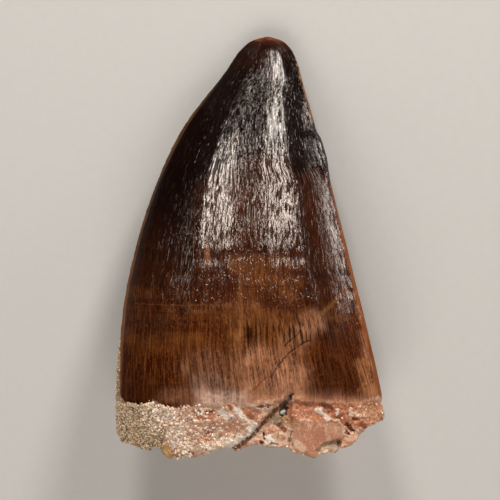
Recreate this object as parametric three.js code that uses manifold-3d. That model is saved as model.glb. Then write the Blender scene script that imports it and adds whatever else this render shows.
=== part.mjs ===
// A fossil mosasaur tooth, lying on its tongue side. The keeled crown narrows to a worn, rounded tip that bends
// down to the surface. Below the enamel is the stub of the root, broken off in a jagged line, split by a slanting
// crack with a hollow at its top. A crust of cemented sand clings to the left side of the root and runs up behind
// the left keel.
// Millimetres: X runs across the tooth, +Y along it to the tip, +Z up from the surface that it rests on.
import * as THREE from "three";
import { ImprovedNoise } from "three/addons/math/ImprovedNoise.js";
import { mergeVertices } from "three/addons/utils/BufferGeometryUtils.js";
import Module from "manifold-3d";

const { clamp, lerp, smoothstep } = THREE.MathUtils;
const TURN = 2 * Math.PI;

// Driving dimensions. Each profile is a list of [distance along the tooth, value].
const LENGTH = 57.2; // from the zero line, just below the broken root, to the tip
const LEFT_EDGE = [
  [-5, -17.2], [7.6, -17.5], [13, -17.5], [18.6, -17.3], [24, -16.5], [29.4, -15.2],
  [34.8, -13.5], [40.2, -11.4], [45.6, -8.45], [49.8, -5.2], [53.1, -2.7], [LENGTH, -1.9],
];
const RIGHT_EDGE = [
  [-5, 18.4], [4.5, 18.4], [7.2, 18], [12.8, 17], [18.2, 15.8], [24, 14.35],
  [35, 11.65], [45.6, 8.75], [49.8, 7.5], [53, 6.65], [LENGTH, 6.6],
];
const CHEEK_SIDE = [
  [-5, 22], [3, 23.3], [9, 24.2], [14, 24.1], [20, 22.8], [28, 19.7],
  [36, 15.7], [44, 11.2], [50, 7.7], [54, 5.5], [LENGTH, 4.6],
];
const TONGUE_SIDE = [
  [-5, 1.6], [3, 0.45], [10, -0.2], [20, -0.25], [27, -0.1],
  [36, 0.7], [44, 0.8], [50, 0.35], [54, -0.2], [LENGTH, -0.5],
];
const EDGE_HEIGHT = [[-5, 11.6], [10, 12.3], [20, 11.5], [30, 9.9], [40, 7.5], [50, 4.5], [LENGTH, 2.1]];
const TIP = { x: 2.4, z: 2.1, domeStart: 52.5 };

// Angles round a section: 0 is the right edge and a quarter turn is the cheek side.
const COLUMNS = 90;
const CROWN_ROWS = 24;
const ROOT_ROWS = 8;
const KEEL = { height: 0.28, left: Math.PI, right: (4 * TURN) / COLUMNS, halfWidth: 0.07, from: 9, to: 17 };
const FACETS = { count: 13, strength: 0.45, turn: 0.12 };
const RIDGE = { height: 0.08, around: 9, along: 11 };
const ENAMEL = {
  thickness: 0.25, lip: 0.3, ripple: 0.2,
  rim: [ // [angle, along]
    [0.26, 8.2], [0.57, 7.6], [0.75, 7.5], [1.13, 7.8], [1.28, 8.6], [1.35, 8.1], [1.59, 7.6], [2.01, 7.45],
    [2.24, 7], [2.4, 7.9], [2.54, 7.45], [2.81, 7.45], [2.97, 8.15], [3.4, 7.8], [3.9, 7], [4.3, 7.7],
    [4.8, 7.1], [5.2, 7.8], [5.7, 7.2], [6.2, 7.9], [6.54, 8.2],
  ],
};
const ROOT = { lumps: 0.32, lumpSize: 1.7, end: -4 };

// The broken lower edge of the root on the cheek side, [across, along].
const BROKEN_EDGE = [
  [-22, 4.2], [-18, 2.8], [-16.85, 2.15], [-14.55, 1.55], [-13.6, 1.3], [-13.35, 1.7], [-12.35, 1.9],
  [-11.8, 1.25], [-11.25, 0.4], [-10.7, 0.2], [-8.95, 0.45], [-8.3, 0.7], [-7.9, 0.3], [-7.05, 0.45],
  [-6.25, 0.8], [-4.65, 1.55], [-2.5, 1.65], [-2.15, 1.35], [-1.45, 1.3], [-0.75, 1.85], [0.15, 2.2],
  [1.45, 2.3], [2.45, 2.05], [3.75, 1.8], [4.75, 1.85], [5.6, 1.3], [6.25, 0.95], [6.75, 1.05], [8.4, 0.4],
  [9.4, 0.7], [11.15, 0.9], [11.6, 1.35], [11.85, 2.1], [12.35, 1.5], [13.75, 1.75], [14.5, 2.65],
  [15.05, 3.75], [16, 4.35], [16.9, 4.8], [18.2, 5], [22, 5.6],
];
const BREAK = {
  depth: 4.5, coarse: 1.1, fine: 0.5, rows: 26,
  face: [[-22, 5], [-13, 3.6], [-4, 4.2], [3, 3.4], [9, 3.2], [14, 4.3], [18, 5.9], [22, 6.6]],
};

// Damage on the cheek side of the root. Each pocket is cut down to its floor, which tilts down to the right.
const CRACK = {
  line: [[-2.55, 0.8], [-1.3, 2.35], [0.3, 3.55], [1.6, 5.25], [3.35, 6.9], [5.4, 8.8]],
  width: 0.5, floor: 21.8,
};
const POCKETS = [
  // the wedge between the crack and the upright break to its right
  { outline: [...CRACK.line, [5.55, 8.6], [5.55, -1], [-2.55, -1]], floor: 22.85, tilt: 0.1 },
  // the front layer broken away from in front of the rounded lobe
  { outline: [[8.9, -2], [8.9, 0.85], [9.4, 1.45], [10.2, 2.15], [11, 2.6], [11.85, 2.8], [11.85, -2]],
    floor: 20.6, tilt: 0.38 },
];
const HOLLOW = { at: [4.8, 7.6, 23.1], size: [0.55, 0.85, 1.7] };

// The crust lies over the root from its front edge round to the tongue side.
const CRUST = {
  front: 2.32, back: 4.25, gap: 0.3, thickness: 0.4, lumps: 0.2,
  top: [ // [angle, along]
    [2.32, 7.1], [2.4, 7.7], [2.55, 7.3], [2.68, 7.6], [2.85, 7.4], [3.0, 8], [3.1, 9.5], [3.2, 15.3],
    [3.32, 14.2], [3.45, 11.4], [3.6, 9.8], [3.8, 8.2], [4.0, 8.6], [4.25, 6],
  ],
};
const CRUST_STEPS = { round: 40, up: 9 };

const wasm = await Module();
wasm.setup();
const noise = new ImprovedNoise();

// A smooth curve through [at, value] points, as a function of at.
function through(points) {
  const slope = points.map((point, i) => {
    const before = points[Math.max(i - 1, 0)];
    const after = points[Math.min(i + 1, points.length - 1)];
    return (after[1] - before[1]) / (after[0] - before[0]);
  });
  return (at) => {
    let i = 0;
    while (i < points.length - 2 && at > points[i + 1][0]) i += 1;
    const [from, low] = points[i];
    const [to, high] = points[i + 1];
    const span = to - from;
    const u = clamp((at - from) / span, 0, 1);
    const rise = u * (1 - u) * (1 - u) * slope[i] * span;
    const fall = u * u * (u - 1) * slope[i + 1] * span;
    return lerp(low, high, u * u * (3 - 2 * u)) + rise + fall;
  };
}

const left = through(LEFT_EDGE);
const right = through(RIGHT_EDGE);
const cheek = through(CHEEK_SIDE);
const tongue = through(TONGUE_SIDE);
const edgeHeight = through(EDGE_HEIGHT);
const rimLine = through(ENAMEL.rim);

// The short way round between two angles.
function angleBetween(a, b) {
  const apart = Math.abs(a - b) % TURN;
  return Math.min(apart, TURN - apart);
}

// How open the rounded tip still is at a distance along the tooth: 1 is wide and 0 is shut.
function opening(along) {
  const u = clamp((along - TIP.domeStart) / (LENGTH - TIP.domeStart), 0, 1);
  return Math.sqrt(1 - u * u);
}

// The crown's faces are worn into broad flats, which fade out towards the root and the tip.
function facetScale(angle, along) {
  const width = TURN / FACETS.count;
  const within = THREE.MathUtils.euclideanModulo(angle + FACETS.turn, width) - width / 2;
  const flat = Math.cos(width / 2) / Math.cos(within);
  const reach = smoothstep(along, 9, 16) * (1 - smoothstep(along, 44, 53));
  return 1 + (flat - 1) * FACETS.strength * reach;
}

// How far along the tooth the enamel's ragged lower rim lies.
function rim(angle) {
  const first = ENAMEL.rim[0][0];
  const ripple = noise.noise(17 * Math.cos(angle), 17 * Math.sin(angle), 8.1);
  return rimLine(THREE.MathUtils.euclideanModulo(angle - first, TURN) + first) + ENAMEL.ripple * ripple;
}

// The cutting edges stand up as keels down both sides of the crown.
function keelHeight(angle, along) {
  const leftFade = smoothstep(along, KEEL.from, KEEL.to);
  const onLeft = leftFade * Math.max(0, 1 - angleBetween(angle, KEEL.left) / KEEL.halfWidth);
  const onRight = Math.max(0, 1 - angleBetween(angle, KEEL.right) / KEEL.halfWidth);
  return KEEL.height * Math.max(onLeft, onRight) * opening(along);
}

// A point of the smooth tooth, moved out across the section by lift.
function skin(angle, along, lift = 0) {
  const middle = (left(along) + right(along)) / 2;
  const half = (right(along) - left(along)) / 2;
  const edge = edgeHeight(along);
  const onCheek = Math.sin(angle) >= 0;
  const rise = onCheek ? cheek(along) - edge : edge - tongue(along);
  const power = THREE.MathUtils.mapLinear(along, 0, LENGTH, 1.02, 1.16);
  const scale = facetScale(angle, along) * opening(along);
  const outward = new THREE.Vector2(Math.cos(angle) / half, Math.sin(angle) / rise).normalize();
  const across = half * Math.cos(angle) * scale;
  const height = rise * Math.sign(Math.sin(angle)) * Math.abs(Math.sin(angle)) ** power * scale;
  return new THREE.Vector3(
    lerp(TIP.x, middle, opening(along)) + across + outward.x * lift,
    along,
    lerp(TIP.z, edge, opening(along)) + height + outward.y * lift,
  );
}

// The height of the root's lumps above its mean surface.
function rootLump(angle, along) {
  const at = skin(angle, along).divideScalar(ROOT.lumpSize);
  return ROOT.lumps * (noise.noise(at.x, at.y, at.z) + 0.5 * noise.noise(2.3 * at.x, 2.3 * at.y, 2.3 * at.z));
}

// What the solid tooth adds to the smooth skin, on the enamel and below it.
function enamelLift(angle, along) {
  const spread = RIDGE.around * Math.sqrt(1 - (0.8 * along) / LENGTH);
  const ridge = noise.noise(spread * Math.cos(angle), spread * Math.sin(angle), along / RIDGE.along);
  return keelHeight(angle, along) + RIDGE.height * ridge * opening(along);
}

function rootLift(angle, along) {
  return rootLump(angle, along) - ENAMEL.thickness;
}

// A closed surface on the grid of a sphere, from the pole at row 0 to the pole at the last row.
function shapedSphere(columns, rows, place) {
  const geometry = new THREE.SphereGeometry(1, columns, rows);
  const position = geometry.getAttribute("position");
  for (let row = 0; row <= rows; row += 1) {
    for (let column = 0; column <= columns; column += 1) {
      const at = place(column % columns, row);
      position.setXYZ(row * (columns + 1) + column, at.x, at.y, at.z);
    }
  }
  return geometry;
}

// A closed geometry as a solid that can be joined and cut.
function solid(geometry) {
  const bare = geometry.clone();
  bare.deleteAttribute("normal");
  bare.deleteAttribute("uv");
  const merged = mergeVertices(bare, 1e-4);
  return new wasm.Manifold(new wasm.Mesh({
    numProp: 3,
    vertProperties: merged.getAttribute("position").array,
    triVerts: new Uint32Array(merged.index.array),
  }));
}

// The blank of the tooth: rows of enamel from the tip down, the step at the rim, then rows of root.
function toothBlank() {
  const rows = CROWN_ROWS + 1 + ROOT_ROWS;
  return shapedSphere(COLUMNS, rows, (column, row) => {
    const angle = Math.PI - (TURN * column) / COLUMNS;
    if (row === 0) return new THREE.Vector3(TIP.x, LENGTH, TIP.z);
    if (row === rows) return new THREE.Vector3(0, ROOT.end, edgeHeight(0));
    if (row <= CROWN_ROWS) {
      const along = lerp(LENGTH, rim(angle), (row / CROWN_ROWS) ** 1.35);
      return skin(angle, along, enamelLift(angle, along));
    }
    const belowRim = rim(angle) - ENAMEL.lip;
    const along = lerp(belowRim, ROOT.end, (row - CROWN_ROWS - 1) / (ROOT_ROWS - 1));
    return skin(angle, along, rootLift(angle, along));
  });
}

// The crust is a sleeve laid round part of the root: its loop runs up the outside and down the inside.
function crustBlank() {
  const { round, up } = CRUST_STEPS;
  const top = through(CRUST.top);
  return shapedSphere(2 * up, round, (column, row) => {
    const angle = lerp(CRUST.front, CRUST.back, row / round);
    const onEnd = row === 0 || row === round;
    const outside = column >= up || onEnd;
    const step = onEnd ? 0.5 : (outside ? 2 * up - 1 - column : column) / (up - 1);
    const along = lerp(ROOT.end, top(angle), step);
    const overEnamel = smoothstep(along, rim(angle) - 1.4, rim(angle) - 0.5);
    const under = lerp(rootLift(angle, along), enamelLift(angle, along), overEnamel) + CRUST.gap;
    if (!outside) return skin(angle, along, under);
    const at = skin(angle, along);
    const lump = CRUST.lumps * noise.noise(1.1 * at.x, 1.1 * at.y, 1.1 * at.z);
    const taper = smoothstep(Math.min(row, round - row), 0, 3);
    return skin(angle, along, under + (CRUST.thickness + lump) * lerp(0.5, 1, taper));
  });
}

// The height of the tooth's cheek side over a place in plan.
function cheekHeight(across, along) {
  const middle = (left(along) + right(along)) / 2;
  const half = (right(along) - left(along)) / 2;
  const side = clamp((across - middle) / half, -1, 1);
  return lerp(edgeHeight(along), cheek(along), Math.sqrt(1 - side * side));
}

// What the break took away: all that lies below the jagged edge and, further in, below a rough face.
function brokenOff() {
  const lines = BROKEN_EDGE.length - 1;
  const inner = through(BREAK.face);
  const geometry = new THREE.BoxGeometry(1, 1, 1, lines, 1, BREAK.rows);
  const position = geometry.getAttribute("position");
  for (let i = 0; i < position.count; i += 1) {
    const [across, edge] = BROKEN_EDGE[Math.round((position.getX(i) + 0.5) * lines)];
    const height = lerp(-3, 29, position.getZ(i) + 0.5);
    const inside = smoothstep(cheekHeight(across, edge) - height, 0.7, BREAK.depth);
    const coarse = BREAK.coarse * noise.noise(across / 3.1, 5.5, height / 3.1);
    const fine = BREAK.fine * noise.noise(across / 1.1, 9.5, height / 1.3);
    const face = lerp(edge, inner(across) + coarse + fine, inside);
    position.setXYZ(i, across, position.getY(i) > 0 ? face : -12, height);
  }
  return solid(geometry);
}

// A slab with a flat, tilted floor that reaches up past the cheek side.
function pocket({ outline, floor, tilt }) {
  const centre = outline.reduce((sum, [x]) => sum + x, 0) / outline.length;
  const shape = new THREE.Shape(outline.map(([x, y]) => new THREE.Vector2(x - centre, y)));
  const geometry = new THREE.ExtrudeGeometry(shape, { depth: 8, bevelEnabled: false });
  return solid(geometry.rotateY(tilt).translate(centre, 0, floor));
}

// The outline of a slot of even width along a line of points.
function slotOutline(line, width) {
  const side = (sign) => line.map(([x, y], i) => {
    const [x0, y0] = line[Math.max(i - 1, 0)];
    const [x1, y1] = line[Math.min(i + 1, line.length - 1)];
    const across = new THREE.Vector2(y0 - y1, x1 - x0).setLength((sign * width) / 2);
    return [x + across.x, y + across.y];
  });
  return [...side(-1), ...side(1).reverse()];
}

function hollow() {
  const geometry = new THREE.SphereGeometry(1, 12, 8).scale(...HOLLOW.size);
  return solid(geometry.translate(...HOLLOW.at));
}

// The surface that the tooth lies on, as the solid ground below it.
function ground() {
  return solid(new THREE.BoxGeometry(200, 200, 20).translate(0, 0, -10));
}

function geometryOf(body) {
  const { vertProperties, triVerts } = body.getMesh();
  const geometry = new THREE.BufferGeometry();
  geometry.setAttribute("position", new THREE.BufferAttribute(vertProperties, 3));
  geometry.setIndex(new THREE.BufferAttribute(triVerts, 1));
  geometry.computeVertexNormals();
  return geometry;
}

function mesh(name, body, finish) {
  const made = new THREE.Mesh(geometryOf(body), new THREE.MeshStandardMaterial(finish));
  made.name = name;
  return made;
}

const lost = brokenOff();
const crack = pocket({ outline: slotOutline(CRACK.line, CRACK.width), floor: CRACK.floor, tilt: 0 });
const cuts = [lost, crack, ...POCKETS.map(pocket), hollow(), ground()];
const tooth = cuts.reduce((body, cut) => body.subtract(cut), solid(toothBlank()));
const crust = solid(crustBlank()).subtract(lost);

const group = new THREE.Group();
group.add(
  mesh("tooth", tooth, { color: 0x3a1c10, roughness: 0.3, metalness: 0 }),
  mesh("matrix_crust", crust, { color: 0xb49a72, roughness: 0.95, metalness: 0 }),
);

// The origin is on the surface, under the middle of the tooth.
const box = new THREE.Box3().setFromObject(group);
const middle = box.getCenter(new THREE.Vector3());
for (const piece of group.children) piece.position.set(-middle.x, -middle.y, -box.min.z);

export default group;
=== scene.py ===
"""Dresses a fossil mosasaur tooth that lies on a pale surface, seen from straight above.

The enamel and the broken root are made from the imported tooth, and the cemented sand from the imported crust.
The sand's grains, the root's grit and the pebble in its crack are added to them. A plan place is in
millimetres: across, along and up. A picture point is counted from the left and the top of a picture that is
500 points wide.
"""

import logging
import math
from dataclasses import dataclass, field
from enum import Enum
from typing import Optional, Sequence, Union

import bpy
import numpy as np
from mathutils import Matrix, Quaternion, Vector, noise


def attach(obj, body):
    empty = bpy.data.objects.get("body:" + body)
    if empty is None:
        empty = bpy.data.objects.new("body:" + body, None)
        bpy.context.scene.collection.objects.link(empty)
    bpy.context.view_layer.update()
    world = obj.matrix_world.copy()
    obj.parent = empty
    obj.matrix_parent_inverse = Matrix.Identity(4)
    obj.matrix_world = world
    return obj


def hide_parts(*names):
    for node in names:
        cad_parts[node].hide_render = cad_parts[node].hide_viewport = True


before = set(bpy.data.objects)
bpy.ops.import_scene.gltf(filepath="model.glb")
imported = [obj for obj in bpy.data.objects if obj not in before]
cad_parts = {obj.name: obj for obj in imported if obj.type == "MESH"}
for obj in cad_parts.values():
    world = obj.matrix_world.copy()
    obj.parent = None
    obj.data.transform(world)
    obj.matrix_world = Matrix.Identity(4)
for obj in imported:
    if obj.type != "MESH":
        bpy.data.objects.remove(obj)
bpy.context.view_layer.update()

MM = 0.001
BODY = "root"
log = logging.getLogger("tooth")

MERGE_DISTANCE = 0.002 * MM
SEED_STEP = 17.31

Point = Sequence[float]
Colour = tuple[float, float, float, float]
Path = Sequence[tuple[float, float]]
Socket = bpy.types.NodeSocket


def rgb(red: float, green: float, blue: float) -> Colour:
    """A linear colour with full alpha."""
    return (red, green, blue, 1.0)


def smoothstep(value: np.ndarray, low: float, high: float) -> np.ndarray:
    """Rises smoothly from 0 at low to 1 at high.

    Args:
        value: The values to grade.
        low: Where the rise starts.
        high: Where it ends.

    Returns:
        One number from 0 to 1 per value.
    """
    part = np.clip((value - low) / (high - low), 0.0, 1.0)
    return part * part * (3.0 - 2.0 * part)


class Bench:
    """The hand operations that every piece is made with."""

    @staticmethod
    def hold(*pieces: bpy.types.Object) -> None:
        """Selects only these pieces and makes the first one active."""
        bpy.ops.object.select_all(action="DESELECT")
        for piece in pieces:
            piece.select_set(True)
        bpy.context.view_layer.objects.active = pieces[0]

    @staticmethod
    def finish_with(piece: bpy.types.Object, kind: str, **settings: object) -> None:
        """Adds a modifier to a piece and applies it.

        Args:
            piece: The object to finish.
            kind: The modifier's type.
            settings: The modifier's properties.
        """
        Bench.hold(piece)
        modifier = piece.modifiers.new(kind.title(), kind)
        for name, value in settings.items():
            setattr(modifier, name, value)
        bpy.ops.object.modifier_apply(modifier=modifier.name)

    @staticmethod
    def copy_of(node: str, name: str) -> bpy.types.Object:
        """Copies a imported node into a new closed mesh.

        Args:
            node: The node's name.
            name: The new piece's name.

        Returns:
            The new object, with the node's loose triangles merged.
        """
        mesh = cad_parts[node].data.copy()
        mesh.name = name
        mesh.materials.clear()
        piece = bpy.data.objects.new(name, mesh)
        bpy.context.scene.collection.objects.link(piece)
        Bench.hold(piece)
        bpy.ops.object.mode_set(mode="EDIT")
        bpy.ops.mesh.select_all(action="SELECT")
        bpy.ops.mesh.remove_doubles(threshold=MERGE_DISTANCE)
        bpy.ops.object.mode_set(mode="OBJECT")
        return piece

    @staticmethod
    def places(piece: bpy.types.Object) -> np.ndarray:
        """The places of a piece's vertices, in metres."""
        flat = np.empty(len(piece.data.vertices) * 3)
        piece.data.vertices.foreach_get("co", flat)
        return flat.reshape(-1, 3)

    @staticmethod
    def facings(piece: bpy.types.Object) -> np.ndarray:
        """The outward directions of a piece's vertices."""
        flat = np.empty(len(piece.data.vertices) * 3)
        piece.data.vertices.foreach_get("normal", flat)
        return flat.reshape(-1, 3)

    @staticmethod
    def move_to(piece: bpy.types.Object, places: np.ndarray) -> None:
        """Puts each vertex of a piece at its new place, in metres."""
        piece.data.vertices.foreach_set("co", places.ravel())
        piece.data.update()

    @staticmethod
    def raise_by(piece: bpy.types.Object, heights: np.ndarray) -> None:
        """Moves each vertex of a piece out along its own direction.

        Args:
            piece: The object to shape.
            heights: One height per vertex, in millimetres.
        """
        Bench.move_to(piece, Bench.places(piece) + Bench.facings(piece) * heights[:, None] * MM)

    @staticmethod
    def smooth_part(piece: bpy.types.Object, weights: np.ndarray, times: int) -> None:
        """Smooths a piece more in some places than in others.

        Args:
            piece: The object to smooth.
            weights: How much each vertex is smoothed, from 0 to 1.
            times: How often.
        """
        group = piece.vertex_groups.new(name="smoothed")
        for i in np.flatnonzero(weights > 0.0):
            group.add([int(i)], float(weights[i]), "REPLACE")
        Bench.finish_with(piece, "SMOOTH", factor=0.5, iterations=times, vertex_group="smoothed")
        piece.vertex_groups.remove(piece.vertex_groups["smoothed"])

    @staticmethod
    def choose(piece: bpy.types.Object, chosen: np.ndarray) -> None:
        """Opens a piece for editing with only some of its vertices selected.

        Args:
            piece: The object.
            chosen: One truth value per vertex.
        """
        Bench.hold(piece)
        bpy.ops.object.mode_set(mode="EDIT")
        bpy.ops.mesh.select_mode(type="VERT")
        bpy.ops.mesh.select_all(action="DESELECT")
        bpy.ops.object.mode_set(mode="OBJECT")
        piece.data.vertices.foreach_set("select", chosen)
        bpy.ops.object.mode_set(mode="EDIT")

    @staticmethod
    def mark(piece: bpy.types.Object, name: str, kind: str, values: np.ndarray) -> None:
        """Stores values on a piece's vertices for its material to read.

        Args:
            piece: The object.
            name: The attribute's name.
            kind: The attribute's data type.
            values: One row per vertex.
        """
        field_name = {"FLOAT": "value", "FLOAT_VECTOR": "vector", "FLOAT_COLOR": "color"}[kind]
        attribute = piece.data.attributes.new(name, kind, "POINT")
        attribute.data.foreach_set(field_name, np.ascontiguousarray(values, dtype=np.float32).ravel())

    @staticmethod
    def dress(piece: bpy.types.Object, material: bpy.types.Material, node: Optional[str], slot: str) -> None:
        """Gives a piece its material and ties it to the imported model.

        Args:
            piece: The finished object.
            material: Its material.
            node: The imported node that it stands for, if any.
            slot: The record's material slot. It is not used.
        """
        piece.data.materials.clear()
        piece.data.materials.append(material)
        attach(piece, BODY)
        if node:
            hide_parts(node)
        log.info("%s: %d faces", piece.name, len(piece.data.polygons))


def noise_at(places: np.ndarray, scale: Point, seed: float = 0.0) -> np.ndarray:
    """Smooth noise between -1 and 1.

    Args:
        places: One place per row.
        scale: The size of the noise's cells along each axis.
        seed: Shifts the pattern.

    Returns:
        One value per place.
    """
    cells = places / np.asarray(scale) + seed * SEED_STEP
    return np.fromiter((noise.noise(Vector(cell)) for cell in cells), float, len(cells))


@dataclass(frozen=True)
class Lumps:
    """Lumps with smaller lumps on them, in millimetres."""

    size: float
    small_size: float
    small_share: float
    seed: float
    small_seed: float

    def at(self, places: np.ndarray) -> np.ndarray:
        """How high each place stands: above 0 on a lump and below 0 beside it."""
        small = noise_at(places, (self.small_size,) * 3, self.small_seed)
        return noise_at(places, (self.size,) * 3, self.seed) + self.small_share * small


def distance_to(places: np.ndarray, path: Path) -> np.ndarray:
    """The distance in plan from each place to a path of straight stretches.

    Args:
        places: Plan places, one per row.
        path: The path's points.

    Returns:
        One distance per place, in millimetres.
    """
    nearest = np.full(len(places), 1e9)
    for start, end in zip(path, path[1:]):
        a, run = np.array(start), np.array(end) - np.array(start)
        part = np.clip((places[:, :2] - a) @ run / max(run @ run, 1e-9), 0.0, 1.0)
        nearest = np.minimum(nearest, np.linalg.norm(places[:, :2] - a - part[:, None] * run, axis=1))
    return nearest


def inside(places: np.ndarray, outline: Path) -> np.ndarray:
    """Whether each place lies inside a closed outline in plan.

    Args:
        places: Plan places, one per row.
        outline: The outline's corners.

    Returns:
        One truth value per place.
    """
    x, y = places[:, 0], places[:, 1]
    within = np.zeros(len(places), bool)
    for (x0, y0), (x1, y1) in zip(outline, [*outline[1:], outline[0]]):
        if y0 != y1:
            within ^= ((y0 > y) != (y1 > y)) & (x < (x1 - x0) * (y - y0) / (y1 - y0) + x0)
    return within


@dataclass(frozen=True)
class View:
    """The camera's place, straight above the tooth, and where plan places lie in its picture.

    The field point is a picture point's size at the focus height, in millimetres. The middle is half the
    picture's width, in points.
    """

    lens: float = 400.0
    sensor: float = 36.0
    point: float = 0.135
    middle: float = 250.0
    focus_height: float = 12.0
    centre: tuple[float, float] = (0.0, 28.08)

    @property
    def distance(self) -> float:
        """From the camera to the focus height, in millimetres."""
        return self.point * 2.0 * self.middle * self.lens / self.sensor

    def points(self, places: np.ndarray) -> np.ndarray:
        """Where plan places lie in the picture.

        Args:
            places: Plan places, one per row.

        Returns:
            One picture point per place.
        """
        scale = self.distance / (self.distance + self.focus_height - places[:, 2]) / self.point
        across = self.middle + (places[:, 0] - self.centre[0]) * scale
        down = self.middle - (places[:, 1] - self.centre[1]) * scale
        return np.stack([across, down], axis=1)


@dataclass
class Plan:
    """The tooth's own measure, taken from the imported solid: where a place is across, along and round it."""

    node: str = "tooth"
    tip: tuple[float, float] = (2.4, 57.2)
    first_slice: float = 9.5
    last_slice: float = 55.4
    slices: int = 24
    slice_share: float = 0.75
    base_half_width: float = 17.5
    ridge_merging: float = 0.75
    flatness: float = 0.7
    shift: np.ndarray = field(init=False)
    levels: np.ndarray = field(init=False)
    sections: np.ndarray = field(init=False)

    def __post_init__(self) -> None:
        """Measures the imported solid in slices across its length."""
        raw = np.array([v.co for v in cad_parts[self.node].data.vertices]) / MM
        top = raw[raw[:, 1].argmax()]
        self.shift = np.array([self.tip[0] - top[0], self.tip[1] - top[1], 0.0])
        places = raw + self.shift
        self.levels = np.linspace(self.first_slice, self.last_slice, self.slices)
        reach = self.slice_share * (self.levels[1] - self.levels[0])
        rows = []
        for level in self.levels:
            near = places[np.abs(places[:, 1] - level) < reach]
            low, high = near.min(0), near.max(0)
            middle, half = (low + high) / 2, (high - low) / 2
            rows.append([middle[0], half[0], middle[2], half[2]])
        self.sections = np.array(rows)

    def of(self, piece: bpy.types.Object) -> np.ndarray:
        """The plan places of a piece's vertices."""
        return Bench.places(piece) / MM + self.shift

    def to_frame(self, across: float, along: float, up: float) -> Vector:
        """A plan place in the frame's metres."""
        return Vector((across - self.shift[0], along - self.shift[1], up)) * MM

    def section(self, along: np.ndarray) -> list[np.ndarray]:
        """Each section's middle and half width, and its middle height and half height."""
        return [np.interp(along, self.levels, column) for column in self.sections.T]

    def angles(self, places: np.ndarray) -> np.ndarray:
        """The turn of each place round its section: 0 at the right edge, a quarter turn on the cheek side."""
        middle, half, height, rise = self.section(places[:, 1])
        return np.arctan2((places[:, 2] - height) / rise, (places[:, 0] - middle) / half)

    def flow(self, places: np.ndarray) -> np.ndarray:
        """Coordinates that follow the enamel: two round the section and one along it.

        Args:
            places: Plan places, one per row.

        Returns:
            One row per place. The two round the section draw in towards the tip, as the ridges do.
        """
        angle = self.angles(places)
        half = self.section(places[:, 1])[1]
        spread = self.base_half_width * (half / self.base_half_width) ** self.ridge_merging
        upward = self.flatness * spread * np.sin(angle)
        return np.stack([spread * np.cos(angle), upward, places[:, 1]], axis=1)


@dataclass
class EnamelRim:
    """The ragged lower rim of the enamel, as its length along the tooth at turns round it, in radians."""

    line: Sequence[tuple[float, float]] = (
        (0.26, 8.2), (0.57, 7.6), (0.75, 7.5), (1.13, 7.8), (1.28, 8.6), (1.35, 8.1), (1.59, 7.6),
        (2.01, 7.45), (2.24, 7.0), (2.4, 7.9), (2.54, 7.45), (2.81, 7.45), (2.97, 8.15), (3.4, 7.8),
        (3.9, 7.0), (4.3, 7.7), (4.8, 7.1), (5.2, 7.8), (5.7, 7.2), (6.2, 7.9), (6.54, 8.2),
    )

    def gap(self, plan: Plan, places: np.ndarray) -> np.ndarray:
        """How far above the rim each place is: negative on the root.

        Args:
            plan: The tooth's measure.
            places: Plan places.

        Returns:
            One distance per place, in millimetres.
        """
        first = self.line[0][0]
        angle = np.mod(plan.angles(places) - first, 2 * math.pi) + first
        angles, alongs = zip(*self.line)
        return places[:, 1] - np.interp(angle, angles, alongs)


class Value:
    """A number that varies over a surface. Arithmetic on it adds the Math nodes."""

    def __init__(self, graph: "Graph", socket: Socket) -> None:
        """Wraps an output socket of a graph."""
        self.graph = graph
        self.socket = socket

    def math(self, operation: str, *others: Union["Value", float]) -> "Value":
        """The result of a Math node on this value and others."""
        inputs = dict(enumerate((self, *others)))
        made = self.graph.node("ShaderNodeMath", {"operation": operation}, inputs)
        return Value(self.graph, made.outputs[0])

    def __add__(self, other: Union["Value", float]) -> "Value":
        """This plus the other."""
        return self.math("ADD", other)

    __radd__ = __add__

    def __sub__(self, other: Union["Value", float]) -> "Value":
        """This minus the other."""
        return self.math("SUBTRACT", other)

    def __rsub__(self, other: float) -> "Value":
        """The other minus this."""
        return (self * -1.0).math("ADD", other)

    def __mul__(self, other: Union["Value", float]) -> "Value":
        """This times the other."""
        return self.math("MULTIPLY", other)

    __rmul__ = __mul__

    def __truediv__(self, other: Union["Value", float]) -> "Value":
        """This over the other."""
        return self.math("DIVIDE", other)

    def __pow__(self, power: float) -> "Value":
        """This to a power."""
        return self.math("POWER", power)

    def size(self) -> "Value":
        """This without its sign."""
        return self.math("ABSOLUTE")

    def least(self, other: Union["Value", float]) -> "Value":
        """The smaller of this and the other."""
        return self.math("MINIMUM", other)

    def most(self, other: Union["Value", float]) -> "Value":
        """The larger of this and the other."""
        return self.math("MAXIMUM", other)

    def rise(self, low: float, high: float) -> "Value":
        """A smooth step.

        Args:
            low: Where it is 0.
            high: Where it is 1, which may also lie below low.

        Returns:
            A number from 0 to 1.
        """
        settings = {"interpolation_type": "SMOOTHSTEP", "clamp": True}
        if low > high:
            return 1.0 - self.rise(high, low)
        inputs = {"Value": self, "From Min": low, "From Max": high}
        return Value(self.graph, self.graph.node("ShaderNodeMapRange", settings, inputs).outputs[0])

    def bump_at(self, centre: float, reach: float) -> "Value":
        """A smooth hump that is 1 at the centre and 0 past its reach."""
        return (self - centre).size().rise(reach, 0.0)


Number = Union[Value, float]
Paint = Union[Socket, Colour]


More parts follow.
